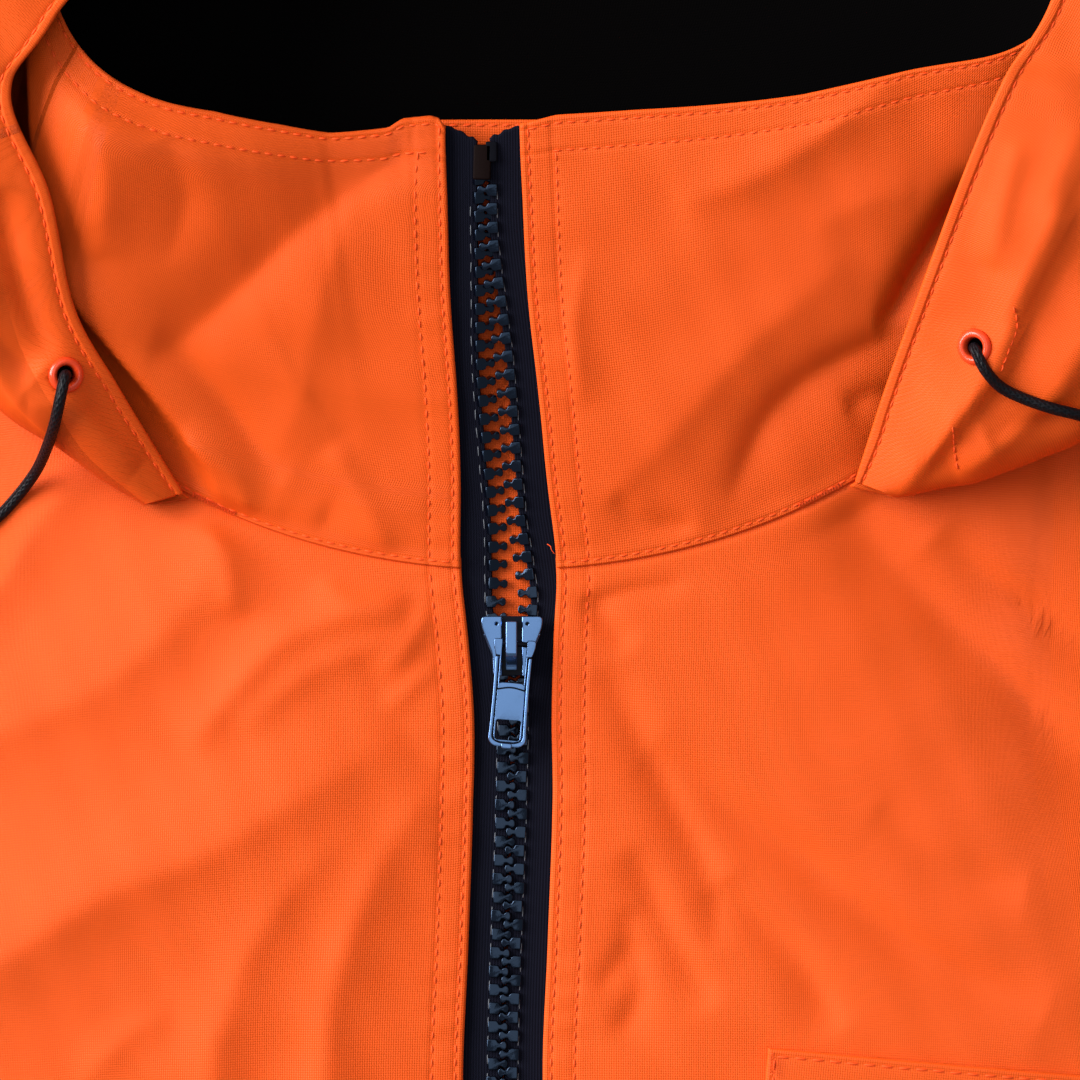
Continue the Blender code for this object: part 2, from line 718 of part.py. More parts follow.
def zip_strips():
    def guard(y):
        return -GUARD_HALF, GUARD_HALF

    strip("zip_guard", guard, HEM_Y + 4, GUARD_TOP_Y, GUARD_DEPTH, THIN, "shell_orange")
    for name, side in (("left", 1), ("right", -1)):

        def teeth(y):
            line = getattr(row_at(TEETH_LINES, y), name)
            return sorted((line + side * TEETH_BACK, line - side * TEETH_REACH))

        def tape(y):
            line = getattr(row_at(TEETH_LINES, min(max(y, TEETH_BOTTOM_Y), TEETH_TOP_Y)), name)
            edge = getattr(row_at(CLOTH_EDGES, y), name)
            return sorted((line + side * (TEETH_BACK + GAP), edge + side * TAPE_UNDER))

        strip(f"zip_tape_{name}", tape, HEM_Y + 2, TEETH_TOP_Y + 6, TAPE_DEPTH, LINING, "zip_tape")
        strip(f"zip_teeth_{name}", teeth, TEETH_BOTTOM_Y, TEETH_TOP_Y, TEETH_DEPTH, TEETH_HEIGHT, "zip_teeth")
        line = getattr(TEETH_LINES[-1], name)
        low, high = sorted((line + side * 0.3, line - side * 2.0))
        outline = [(low, 84.4), (high, 84.4), (high, 88.4), (low, 88.4)]
        z = zip_z(86.4) - TEETH_DEPTH
        plate(f"top_stop_{name}", [outline], z - TEETH_HEIGHT + 0.5, z + 0.5, "zip_teeth")
    z = zip_z(HEM_Y)
    plate(
        "zip_box",
        [[(-2.3, HEM_Y + 3), (2.3, HEM_Y + 3), (2.3, TEETH_BOTTOM_Y - 0.4), (-2.3, TEETH_BOTTOM_Y - 0.4)]],
        z - TEETH_DEPTH - TEETH_HEIGHT,
        z - TEETH_DEPTH,
        "zip_teeth",
    )


def slider():
    """Two plates held apart by a wedge between the rows of teeth, with an arch on top for the pull tab."""
    z = zip_z(SLIDER_TOP_Y - 6)
    plan = [(5.6, 0), (6.45, -1.2), (6.2, -3.9), (4.3, -8.9), (4.0, -12.0), (3.4, -12.7)]
    outline = [(SLIDER_X - x, SLIDER_TOP_Y + y) for x, y in plan]
    outline += [(SLIDER_X + x, SLIDER_TOP_Y + y) for x, y in plan[::-1]]
    top = z + SLIDER_PLATE_Z + SLIDER_PLATE
    body = plate("slider", [outline], z + SLIDER_PLATE_Z, top, "zip_metal")
    under = plate("slider_under", [outline], z + SLIDER_UNDER_Z, z + SLIDER_UNDER_Z + 1.3, "zip_metal")
    wedge_plan = [(-1.4, -0.2), (1.4, -0.2), (0.4, -3.4), (-0.4, -3.4)]
    wedge_outline = [(SLIDER_X - 0.2 + x, SLIDER_TOP_Y + y) for x, y in wedge_plan]
    wedge_low = z + SLIDER_UNDER_Z + 0.5
    wedge_high = z + SLIDER_PLATE_Z + 0.5
    wedge = plate("slider_wedge", [wedge_outline], wedge_low, wedge_high, "zip_metal")
    # The arch is drawn in its own side view and then stood up along the slider.
    feet = (-1.9, -10.9)
    arch = [
        (feet[0], -0.4),
        (feet[0] - CROWN_WALL, -0.4),
        (feet[0] - CROWN_WALL, CROWN_HEIGHT - CROWN_WALL),
        (feet[1] + CROWN_WALL, CROWN_HEIGHT - CROWN_WALL),
        (feet[1] + CROWN_WALL, -0.4),
        (feet[1], -0.4),
        (feet[1], CROWN_HEIGHT - 1),
        (feet[1] + 1, CROWN_HEIGHT),
        (feet[0] - 1, CROWN_HEIGHT),
        (feet[0], CROWN_HEIGHT - 1),
    ]
    stand = Matrix(
        (
            (0, 0, 1, SLIDER_X * MM),
            (1, 0, 0, SLIDER_TOP_Y * MM),
            (0, 1, 0, top * MM),
            (0, 0, 0, 1),
        )
    )
    crown = plate("slider_crown", [arch], -CROWN_HALF, CROWN_HALF, "zip_metal", stand)
    join(body, [under, wedge, crown])


def pull_tab():
    """A flat tab with a slot round the slider's arch and a window near its end, its origin on its pivot."""
    z = zip_z(SLIDER_TOP_Y - 6)
    half = [
        (3.6, 0.75),
        (4.5, -1.2),
        (4.4, -4.6),
        (3.6, -6.6),
        (3.6, -9.5),
        (3.85, -12.0),
        (3.85, -20.3),
        (2.9, -21.7),
    ]
    outline = half + [(-x, y) for x, y in half[::-1]]
    slot = [(1.7, -0.75), (2.5, -1.6), (2.5, -7.0), (1.7, -8.0)]
    slot += [(-x, y) for x, y in slot[::-1]]
    window = [(2.8, -15.9), (2.8, -20.1), (-2.8, -20.1), (-2.8, -15.9)]
    body = plate("pull_tab", [outline, slot, window], -TAB_THICKNESS / 2, TAB_THICKNESS / 2, "zip_metal")
    middle = z + SLIDER_PLATE_Z + SLIDER_PLATE + 0.5 + TAB_THICKNESS / 2
    body.location = Vector((TAB_PIVOT.x, TAB_PIVOT.y, middle)) * MM
    body.rotation_euler.z = TAB_ANGLE


# --- Hood trim --------------------------------------------------------------------------------------------


def eyelets():
    place = hood_place()
    last = len(HOOD_LEFT) + len(HOOD_RIGHT) - 2
    eyelets = (
        ("left", EYELET_LEFT, (1.3, 0.85)),
        ("right", EYELET_RIGHT, (last - 1.3, 0.85)),
    )
    for name, centre, guess in eyelets:
        row, v = find_hood(place, centre.x, centre.y, guess)
        step = 0.02
        along = place(row + step, v) - place(row - step, v)
        upward = place(row, v + step) - place(row, v - step)
        normal = along.cross(upward)
        normal.normalize()
        bpy.ops.mesh.primitive_torus_add(
            major_segments=20,
            minor_segments=8,
            major_radius=EYELET_RADIUS * MM,
            minor_radius=EYELET_WALL * MM,
        )
        ring = bpy.context.object
        mesh = ring.data
        bpy.data.objects.remove(ring)
        made = add(f"eyelet_{name}", mesh, "eyelet_red")
        made.location = (place(row, v) + normal * (EYELET_WALL + 0.6)) * MM
        made.rotation_mode = "QUATERNION"
        made.rotation_quaternion = Vector((0, 0, 1)).rotation_difference(normal)


def drawcords():
    for name, route in CORD_ROUTES.items():
        curve = bpy.data.curves.new(f"drawcord_{name}", "CURVE")
        curve.dimensions = "3D"
        curve.bevel_depth = CORD_DIAMETER / 2 * MM
        curve.bevel_resolution = 2
        curve.use_fill_caps = True
        steps = 2 * (len(route) - 1)
        points = [Vector(through(route, i / 2)) for i in range(steps + 1)]
        line = curve.splines.new("POLY")
        line.points.add(steps)
        for point, place in zip(line.points, points):
            point.co = (*(place * MM), 1)
        add(f"drawcord_{name}", curve, "cord_black")
        ending = (points[-1] - points[-2]).normalized()
        shape = bmesh.new()
        bmesh.ops.create_uvsphere(shape, u_segments=12, v_segments=8, radius=KNOT_RADIUS * MM)
        mesh = bpy.data.meshes.new(f"cord_knot_{name}")
        shape.to_mesh(mesh)
        shape.free()
        mesh.shade_smooth()
        knot = add(f"cord_knot_{name}", mesh, "cord_black")
        knot.location = (points[-1] + ending * (KNOT_RADIUS + GAP)) * MM


def find_hood(place, x, y, guess):
    """Like find, for the hood's surface, whose first parameter counts rows."""
    row, v = guess
    step = 0.01
    for _ in range(20):
        here = place(row, v)
        along_row = (place(row + step, v) - here) / step
        along_v = (place(row, v + step) - here) / step
        det = along_row.x * along_v.y - along_v.x * along_row.y
        miss_x = x - here.x
        miss_y = y - here.y
        row += 0.7 * (miss_x * along_v.y - along_v.x * miss_y) / det
        v += 0.7 * (along_row.x * miss_y - miss_x * along_row.y) / det
        v = min(max(v, 0.6), 0.98)
    return row, v


def main():
    for old in list(bpy.data.objects):
        bpy.data.objects.remove(old)
    for name in ("hi_vis_jacket", "helpers"):
        bpy.context.scene.collection.children.link(bpy.data.collections.new(name))
    frame = bpy.data.objects.new("jacket_frame", None)
    frame.location.y = NECK_Y * MM
    bpy.data.collections["hi_vis_jacket"].objects.link(frame)
    back_panel()
    fronts()
    sleeves()
    collar()
    hood()
    chest_pocket()
    body_bands()
    zip_strips()
    slider()
    pull_tab()
    eyelets()
    drawcords()


main()
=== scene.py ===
"""The looks of the hi-vis work jacket: cloth, stitching, zip, cords and light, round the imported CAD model.

Sizes are in millimetres and turn into metres as each mesh is made. Places are measured from the point where
the zip crosses the neck seam: +X is the wearer's left, +Y runs up to the hood and +Z is up from the surface
that the jacket lies on.
"""

from collections import namedtuple
from math import atan2, cos, degrees, pi, radians, sin

import bmesh
import bpy
import numpy as np
from mathutils import Matrix, Vector


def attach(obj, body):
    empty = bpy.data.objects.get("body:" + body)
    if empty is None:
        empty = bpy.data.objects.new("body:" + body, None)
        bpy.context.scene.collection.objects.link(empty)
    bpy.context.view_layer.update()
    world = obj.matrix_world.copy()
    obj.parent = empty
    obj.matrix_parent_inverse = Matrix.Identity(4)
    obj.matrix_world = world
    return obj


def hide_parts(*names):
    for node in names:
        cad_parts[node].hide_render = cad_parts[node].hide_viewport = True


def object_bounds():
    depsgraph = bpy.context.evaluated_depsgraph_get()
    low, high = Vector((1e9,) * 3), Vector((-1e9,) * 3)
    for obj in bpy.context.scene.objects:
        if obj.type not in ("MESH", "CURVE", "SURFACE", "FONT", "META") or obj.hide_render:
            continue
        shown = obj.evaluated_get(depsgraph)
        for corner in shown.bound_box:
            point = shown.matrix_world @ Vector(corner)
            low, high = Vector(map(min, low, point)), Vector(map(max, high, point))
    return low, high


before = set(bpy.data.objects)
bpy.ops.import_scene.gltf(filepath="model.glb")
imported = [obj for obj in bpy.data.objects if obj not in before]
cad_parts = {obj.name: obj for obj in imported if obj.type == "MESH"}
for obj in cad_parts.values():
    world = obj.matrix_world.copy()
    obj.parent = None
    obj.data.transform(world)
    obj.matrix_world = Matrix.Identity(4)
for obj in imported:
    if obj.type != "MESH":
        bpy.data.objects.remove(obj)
cad_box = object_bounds()

MM = 0.001

# The garment's outline, as in the CAD model.
HEM_Y = -710.0
HEM_X = 308.0
UNDERARM = (315.0, -215.0)
SHOULDER = (265.0, 38.0)
ARMHOLE_BOW = 30.0
CUFF_OUTER = (676.0, -452.0)
CUFF_INNER = (561.0, -548.0)
NECK_HALF = 118.0
NECK_FRONT_DEPTH = 90.0
NECK_BACK_DEPTH = 22.0
HOOD_TOP_Y = 335.0
NECK_Y = cad_box[0].y / MM - HEM_Y

BAND = 1.0
BACK_Z = 1.3
BACK_TOP = 2.8
SIDE_Z = 4.6
NECK_SIDE_Z = 8.5
NECK_FRONT_Z = 23.0
NECK_BACK_Z = 3.2
WAIST_Y = -250.0
WAIST_Z = 20.0
HEM_Z = 14.0
COLLAR_TOP_Z = 41.5
COLLAR_TOP_Y = 92.0
COLLAR_HEIGHT = 94.0
FULLNESS = 8.0
ARM_DOME = 10.3
SLEEVE_EDGE = 5.0
LINING_SINK = 1.4

BODY_BANDS = {"upper": (-380.0, -330.0), "lower": (-580.0, -530.0)}
BAND_LIFT = 0.9
BAND_END = 12.0
SLEEVE_BANDS = {"upper": (0.50, 0.58), "lower": (0.74, 0.82)}

POCKET_CORNER = (54.0, -99.4)
POCKET_WIDTH = 130.0
POCKET_HEIGHT = 150.0
POCKET_SLOPE = radians(-5.2)
POCKET_LIFT = 1.75
POCKET_ROW = 1.6

# Cloth walls.
SHELL = 1.1
THIN = 0.9
LINING = 0.8

# The cloth's edges beside the zip and the lines its teeth stand on: y, the wearer's right, the wearer's left.
CLOTH_EDGES = [
    (-710.0, -9.0, 9.0),
    (-250.0, -9.2, 8.6),
    (-106.0, -9.6, 7.1),
    (-79.0, -8.5, 8.1),
    (-48.0, -7.5, 9.2),
    (-31.0, -7.3, 9.0),
    (-14.6, -8.5, 9.4),
    (0.0, -10.0, 10.0),
    (19.0, -10.0, 7.9),
    (35.0, -10.6, 6.3),
    (56.0, -12.0, 4.0),
    (77.0, -12.6, 2.9),
    (92.0, -13.1, 2.3),
]
TEETH_LINES = [
    (-700.0, -2.7, 2.7),
    (-250.0, -2.8, 2.6),
    (-106.0, -4.0, 1.4),
    (-40.0, -2.0, 3.4),
    (-23.0, -1.9, 3.5),
    (-16.0, -2.6, 4.2),
    (-8.0, -4.3, 5.6),
    (0.0, -4.5, 4.9),
    (10.0, -4.7, 3.3),
    (27.0, -6.0, 1.9),
    (43.0, -7.1, 0.6),
    (54.0, -7.2, -0.8),
    (69.0, -7.3, -2.6),
    (84.0, -7.4, -2.8),
]
COLUMN = {"right": 1, "left": 2}
SIDES = {"left": 1, "right": -1}
TEETH_BOTTOM_Y = -698.0
TEETH_TOP_Y = 84.0
TEETH_PITCH = 3.87
GUARD_DEPTH = 5.8
GUARD_HALF = 17.0
GUARD_TOP_Y = 92.8
TAPE_DEPTH = 2.0

# The collar's top edge by the angle round the neck: angle, x, y, z.
COLLAR_TOP = [
    (-180.0, 5.0, 162.0, 4.6),
    (-150.0, -55.0, 168.0, 6.5),
    (-120.0, -92.0, 176.0, 14.0),
    (-90.0, -99.0, 160.0, 32.0),
    (-75.0, -95.5, 130.0, 43.0),
    (-60.0, -87.5, 108.0, 47.0),
    (-45.0, -70.0, 96.0, 46.0),
    (-25.0, -38.0, 90.5, 42.5),
    (-5.0, -13.1, 92.0, COLLAR_TOP_Z),
    (5.0, 2.3, 92.0, COLLAR_TOP_Z),
    (25.0, 44.0, 95.4, 43.0),
    (45.0, 80.0, 102.0, 46.0),
    (60.0, 106.0, 108.0, 47.0),
    (75.0, 121.0, 128.0, 43.0),
    (90.0, 118.0, 160.0, 32.0),
    (120.0, 108.0, 176.0, 14.0),
    (150.0, 68.0, 168.0, 6.5),
    (180.0, 5.0, 162.0, 4.6),
]
COLLAR_START = 5.0
COLLAR_BULGE = 4.0
ZIP_REACH = 25.0
# How far the real top edge runs above or below that smooth one, beside the zip: x, y.
COLLAR_NICKS = [
    (-90.0, 0.0),
    (-72.0, 0.3),
    (-60.0, 0.9),
    (-47.0, 0.2),
    (-37.0, -0.8),
    (-30.0, -0.3),
    (-24.5, -0.1),
    (-22.8, 0.9),
    (-21.6, 1.5),
    (-16.0, 1.5),
    (-14.4, 0.9),
    (-13.1, -1.0),
    (2.3, -0.4),
    (10.0, 1.0),
    (27.0, 0.8),
    (44.0, 0.2),
    (60.0, -0.6),
    (75.0, -0.3),
    (90.0, 0.0),
]

# The hood's sections: seam x y, outermost x y z, brim x y z.
HOOD_LEFT = [
    (71.5, 17.5, 80.0, 15.5, 23.0, 72.0, 18.6, 24.5),
    (89.0, 29.5, 103.0, 20.0, 24.0, 78.5, 40.0, 34.0),
    (106.0, 46.5, 130.0, 34.0, 23.0, 86.0, 62.0, 43.0),
    (117.0, 66.0, 152.0, 58.0, 22.0, 93.5, 83.0, 51.0),
    (122.5, 84.0, 164.0, 84.0, 22.0, 101.0, 100.5, 53.0),
    (124.5, 98.0, 170.0, 115.0, 22.0, 111.5, 119.0, 52.0),
    (106.0, 92.5, 172.0, 170.0, 20.0, 122.0, 165.0, 47.0),
    (60.0, 74.5, 130.0, 285.0, 18.0, 92.0, 245.0, 37.0),
    (30.0, 71.0, 75.0, 322.0, 16.0, 52.0, 280.0, 31.0),
    (0.0, 69.4, 0.0, HOOD_TOP_Y, 15.0, 0.0, 290.0, 28.0),
]
HOOD_RIGHT = [
    (-67.0, 15.0, -76.0, 13.5, 23.0, -67.8, 16.2, 24.5),
    (-85.0, 26.5, -93.0, 24.5, 24.0, -80.5, 38.0, 34.0),
    (-101.0, 41.0, -110.0, 37.0, 24.0, -89.0, 54.0, 41.0),
    (-115.0, 63.0, -130.0, 60.0, 24.0, -93.5, 77.0, 49.0),
    (-122.0, 84.5, -150.0, 84.0, 24.0, -101.0, 97.0, 54.0),
    (-124.0, 98.0, -160.0, 110.0, 24.0, -92.0, 112.0, 56.0),
    (-106.0, 92.5, -166.0, 170.0, 22.0, -70.0, 150.0, 54.0),
    (-60.0, 74.5, -128.0, 285.0, 18.0, -88.0, 240.0, 39.0),
    (-30.0, 71.0, -75.0, 322.0, 16.0, -52.0, 280.0, 31.0),
    HOOD_LEFT[-1],
]
HOOD_ROWS = HOOD_LEFT + HOOD_RIGHT[-2::-1]
HOOD_LAST = len(HOOD_ROWS) - 1
HOOD_SIDE_ROWS = 7.2
HOOD_SEAM_ROWS = 0.012
HOOD_CREST = 2.5
HOOD_CLEARANCE = 0.8
SHELF_EDGE = 6.0
SHELF_DROP = 10.0

SLIDER_X = 0.65
SLIDER_TOP_Y = -9.6
TAB_PIVOT = (1.3, -15.35)
TAB_ANGLE = radians(-4.8)

EYELETS = {"left": (95.6, 45.8), "right": (-91.0, 40.2)}
CORD_DIAMETER = 2.4
CORD_ROUTES = {
    "left": [
        (95.6, 45.8, 41.2),
        (95.8, 45.0, 43.8),
        (97.7, 41.0, 44.4),
        (101.2, 37.5, 42.4),
        (106.0, 35.2, 41.6),
        (111.5, 33.3, 41.4),
        (117.0, 32.0, 39.8),
        (122.5, 30.5, 36.2),
        (128.0, 28.0, 29.8),
        (132.5, 25.2, 22.4),
        (138.0, 21.0, 17.2),
        (144.0, 15.5, 16.2),
        (152.0, 5.0, 16.2),
        (160.0, -8.0, 16.6),
        (165.0, -22.0, 17.7),
        (166.0, -36.0, 19.6),
    ],
    "right": [
        (-91.0, 40.2, 39.0),
        (-91.1, 39.4, 41.6),
        (-92.0, 35.0, 42.0),
        (-93.4, 30.0, 38.6),
        (-95.6, 25.2, 31.5),
        (-98.6, 20.4, 23.4),
        (-103.0, 15.0, 19.9),
        (-108.0, 10.0, 19.5),
        (-120.0, 1.0, 18.9),
        (-134.0, -7.0, 18.6),
        (-150.0, -12.0, 17.9),
        (-166.0, -14.0, 17.1),
        (-182.0, -12.0, 17.2),
    ],
}

# Folds: height, width on the left and right of the line's direction, and the line in plan.
Fold = namedtuple("Fold", "height left right points")
SHOULDER_FOLD = [(64, 24), (71, 14.6), (78, 4), (88.7, -7.3), (100, -18.8), (111.5, -31), (140, -62)]
FRONT_FOLDS = {
    "right": [
        Fold(3.3, 20, 12, [(-150, -108), (-102, -79), (-85, -68), (-64, -59.5), (-43.5, -47), (-22, -33)]),
        Fold(2.2, 20, 9, [(-150, -52), (-98.5, -31), (-80, -21), (-66, -6), (-60, 12)]),
        Fold(1.5, 6, 4.5, [(-67, -38), (-55, -23), (-44.6, -13.5), (-20, -5)]),
        Fold(1.0, 5, 3.5, [(-56, -34), (-44, -23), (-34, -18), (-20, -13)]),
        Fold(1.7, 9, 9, [(-68, -170), (-62, -106), (-59.5, -95), (-54, -80), (-45, -66), (-30, -52)]),
        Fold(1.8, 7, 8, [(-44, -170), (-38.5, -106), (-37, -90), (-32, -73), (-25, -58), (-14, -42)]),
        Fold(1.3, 9, 6, [(-140, -28), (-110, -8), (-98.5, 9), (-86, 20), (-70, 16)]),
        Fold(0.8, 3.5, 3, [(-40, -2), (-30, -9), (-21, -8)]),
        Fold(0.9, 3, 2.5, [(-27, -22), (-21, -16), (-17, -8)]),
        Fold(0.6, 2, 2, [(-26, -30), (-20, -24), (-15, -20)]),
        Fold(1.5, 5, 5, [(-64, 12), (-59, 2), (-57, -10)]),
        Fold(0.7, 4, 4, [(-90, -108), (-78, -96), (-70, -94)]),
        Fold(3.5, 22, 14, [(-290, -250), (-220, -215), (-150, -190), (-90, -185)]),
        Fold(3.0, 16, 20, [(-270, -420), (-190, -380), (-120, -395), (-60, -430)]),
        Fold(2.6, 12, 16, [(-240, -640), (-160, -560), (-100, -545), (-40, -575)]),
        Fold(3.2, 14, 22, [(-285, -120), (-230, -90), (-180, -100), (-140, -70)]),
        Fold(2.4, 10, 14, [(-262, 6), (-220, -20), (-190, -62)]),
        Fold(2.2, 12, 10, [(-200, -300), (-150, -290), (-90, -250), (-50, -255)]),
        Fold(2.8, 18, 12, [(-296, -560), (-230, -520), (-180, -470), (-150, -480)]),
        Fold(2.0, 9, 12, [(-110, -700), (-95, -650), (-120, -610)]),
    ],
    "left": [
        Fold(-3.6, 9, 13, SHOULDER_FOLD),
        Fold(-2.6, 6, 8, [(90, 8), (98, 0), (111.5, -10.4), (145, -34)]),
        Fold(-1.3, 3.5, 5, [(20, -20), (23.5, -27), (33.5, -47), (42.3, -65.6), (43, -80)]),
        Fold(-2.2, 5, 8, [(30, -36), (35.6, -40.6), (46, -49.6), (62.7, -61.5), (82.5, -78), (112, -92)]),
        Fold(-1.3, 3, 5, [(25, -58), (28.5, -64), (35, -78), (43, -91)]),
        Fold(-1.6, 4, 6, [(45, -64), (50, -71.5), (61, -82), (69, -96)]),
        Fold(-1.0, 2.5, 3, [(15, -6), (19, -9.5), (26, -16)]),
        Fold(-0.8, 3, 3, [(17, -7), (26, -3.8), (37, -3)]),
        Fold(-0.9, 3, 4, [(18, -88), (24, -80), (25, -70)]),
        Fold(-0.9, 2.5, 4, [(22, -98), (27, -88), (25, -76)]),
        Fold(-0.8, 4, 6, [(76, -50), (92, -62), (108, -66)]),
        Fold(3.0, 18, 14, [(290, -235), (230, -212), (190, -170), (185, -110)]),
        Fold(3.2, 20, 14, [(275, -440), (200, -400), (130, -380), (70, -400)]),
        Fold(2.6, 14, 18, [(262, -650), (180, -600), (120, -620), (60, -585)]),
        Fold(2.5, 12, 16, [(262, 10), (215, -30), (182, -60)]),
        Fold(2.2, 12, 12, [(60, -270), (110, -290), (170, -275), (240, -330)]),
        Fold(2.6, 18, 12, [(296, -540), (240, -500), (190, -510), (150, -470)]),
        Fold(2.0, 10, 8, [(120, -704), (110, -660), (135, -630)]),
    ],
}
COLLAR_FOLDS = [
    Fold(6.2, 40, 40, [(-110, 50), (-92, 80), (-70, 98), (-40, 104)]),
    Fold(-2.2, 5, 12, [(-19, 89), (-24, 84), (-43.5, 69.8), (-56, 58), (-69.6, 46.9), (-74, 44)]),
    Fold(1.0, 8, 10, [(-27, 86), (-31, 79), (-39, 56), (-43.5, 35), (-51, 17)]),
    Fold(-1.6, 4, 3, [(-73, 49), (-69.6, 47), (-60, 36.5), (-50, 22.5), (-46, 19)]),
    Fold(1.2, 4, 5, [(-37, 26), (-34, 21), (-29, 12.5), (-24.4, 3)]),
    Fold(1.3, 4, 3.5, [(-68, 29), (-60, 24.5), (-55, 17), (-54.5, 9)]),
    Fold(0.9, 5, 4, [(-52, 10), (-46, 14), (-38, 11)]),
    Fold(3.4, 12, 2.0, [(-92, 68), (-88, 59), (-79, 46), (-70, 34), (-62, 22), (-58, 10)]),
    Fold(1.6, 6, 7, [(-86, 100), (-81, 84), (-83, 66)]),
    Fold(-0.8, 4, 6, [(-70, 90), (-66, 78), (-70, 64)]),
    Fold(1.4, 5, 8, [(83, 104), (75, 98), (62.7, 88.5), (50, 81), (34, 75)]),
    Fold(-2.1, 8, 3.6, [(86, 50), (74, 45.5), (63, 39.5), (55, 32.5), (50, 23.5), (46, 13)]),
    Fold(1.0, 6, 11, [(70, 66), (63.7, 59), (49, 46), (32.5, 27), (18, 13)]),
    Fold(-4.2, 3, 3.5, [(98, 82), (91, 71), (84.5, 60), (80.5, 53), (76, 51)]),
    Fold(-1.4, 4, 3, [(84, 36), (76, 36), (70, 33)]),
    Fold(0.5, 5, 5, [(84, 78), (74, 76), (62, 70)]),
    Fold(-0.9, 3, 3, [(22, 16), (27, 10), (39, 9)]),
    Fold(0.7, 4, 3, [(16, 66), (13.5, 50), (15, 34)]),
]
BRIM_FOLD = [(118, 92), (113.5, 78), (111, 67), (105.3, 55), (101, 42.4), (92.6, 30.7), (87, 23), (80, 15)]
HOOD_FOLDS = [
    Fold(3.0, 1.7, 9, BRIM_FOLD),
    Fold(2.2, 3, 7, [(128, 56), (118, 45), (112, 36), (100, 25), (92, 20)]),
    Fold(-2.0, 4, 5, [(118, 30), (108, 31), (99, 27)]),
    Fold(1.6, 5, 7, [(96, 98), (92, 82), (88, 64), (85, 52)]),
    Fold(1.4, 4, 5, [(104, 88), (101, 74), (99, 62)]),
    Fold(-2.6, 3, 5, [(-104, 78), (-101, 64), (-97, 51), (-93, 43)]),
    Fold(1.3, 4, 4, [(-99, 34), (-92, 34), (-84, 28), (-76, 22)]),
    Fold(-2.2, 5, 5, [(-110, 52), (-102, 44), (-97, 40)]),
    Fold(3.0, 16, 12, [(150, 90), (140, 140), (145, 190), (120, 240)]),
    Fold(3.0, 14, 16, [(-140, 90), (-128, 140), (-140, 200), (-118, 240)]),
    Fold(2.4, 12, 10, [(70, 300), (40, 296), (0, 312), (-50, 300)]),
]
SLEEVE_FOLDS = [
    Fold(3.0, 14, 10, [(330, -110), (390, -170), (420, -240), (455, -280)]),
    Fold(2.6, 10, 14, [(300, 0), (360, -70), (420, -110)]),
    Fold(3.2, 12, 9, [(430, -190), (480, -270), (490, -330)]),
    Fold(2.6, 9, 12, [(400, -290), (450, -310), (520, -300), (560, -330)]),
    Fold(2.2, 8, 10, [(500, -260), (540, -320), (550, -400)]),
    Fold(2.0, 10, 7, [(540, -460), (580, -430), (640, -440)]),
]
BACK_FOLDS = [
    Fold(0.5, 20, 16, [(-240, -620), (-100, -560), (60, -590), (200, -540)]),
    Fold(0.5, 14, 20, [(-200, -330), (-60, -300), (90, -340), (230, -300)]),
    Fold(0.4, 14, 12, [(-180, -80), (-60, -110), (80, -70), (190, -120)]),
]

FOLD_DEPTH = 1.25
BROAD_SHARE = 0.88
CREST = 3.0
STITCH_GROOVE = 0.18
STITCH_GROOVE_WIDTH = 0.55
THREAD = 0.42


# --- Numbers, all on whole arrays at once ---


def mix(a, b, t):
    return a * (1 - t) + b * t


def ramp(t):
    t = np.clip(t, 0.0, 1.0)
    return t * t * (3 - 2 * t)


def stack(*values):
    return np.stack(np.broadcast_arrays(*values), -1).astype(float)


def wide(values):
    return np.asarray(values)[..., None]


def unit(vectors):
    return vectors / np.maximum(np.linalg.norm(vectors, axis=-1, keepdims=True), 1e-12)


def through(rows, t):
    """Smooth rows between the rows of a table, with t counting rows from 0."""
    rows = np.asarray(rows, float)
    last = len(rows) - 1
    t = np.clip(t, 0, last)
    i = np.minimum(np.asarray(t, int), last - 1)
    f = wide(t - i)
    a = rows[np.maximum(i - 1, 0)]
    b = rows[i]
    c = rows[i + 1]
    d = rows[np.minimum(i + 2, last)]
    return b + 0.5 * f * (c - a + f * (2 * a - 5 * b + 4 * c - d + f * (3 * (b - c) + d - a)))


def row_at(rows, key):
    """The smooth rows whose first column is key."""
    rows = np.asarray(rows, float)
    return through(rows, np.interp(key, rows[:, 0], np.arange(len(rows))))


def curve_through(points, steps=8):
    """A smooth line through listed points."""
    return through(points, np.linspace(0, len(points) - 1, steps * (len(points) - 1) + 1))


def beside(points, line):
    """Each point's distance in plan from a line, its side (1 is the line's left) and its share along."""
    flat = points[..., :2].reshape(-1, 2)
    best = np.full(len(flat), 1e9)
    side = np.zeros(len(flat))
    run = np.zeros(len(flat))
    lengths = np.linalg.norm(np.diff(line, axis=0), axis=1)
    starts = np.concatenate([[0.0], np.cumsum(lengths)])
    for a, b, length, start in zip(line, line[1:], lengths, starts):
        along = (b - a) / length
        t = np.clip((flat - a) @ along, 0, length)
        off = flat - a - t[:, None] * along
        distance = np.hypot(off[:, 0], off[:, 1])
        closer = distance < best
        best = np.where(closer, distance, best)
        side = np.where(closer, np.sign(along[0] * off[:, 1] - along[1] * off[:, 0]), side)
        run = np.where(closer, start + t, run)
    shape = points.shape[:-1]
    return best.reshape(shape), side.reshape(shape), (run / starts[-1]).reshape(shape)


def folded(points, folds):
    """How far a set of folds lifts each point."""
    lift = np.zeros(points.shape[:-1])
    for fold in folds:
        distance, side, run = beside(points, curve_through(fold.points))
        width = np.where(side > 0, fold.left, fold.right)
        share = distance / width
        shape = mix(np.exp(-((share * CREST) ** 1.6)), np.exp(-(share**1.6)), BROAD_SHARE)
        lift += FOLD_DEPTH * fold.height * shape * (1 - (2 * run - 1) ** 4)
    return lift


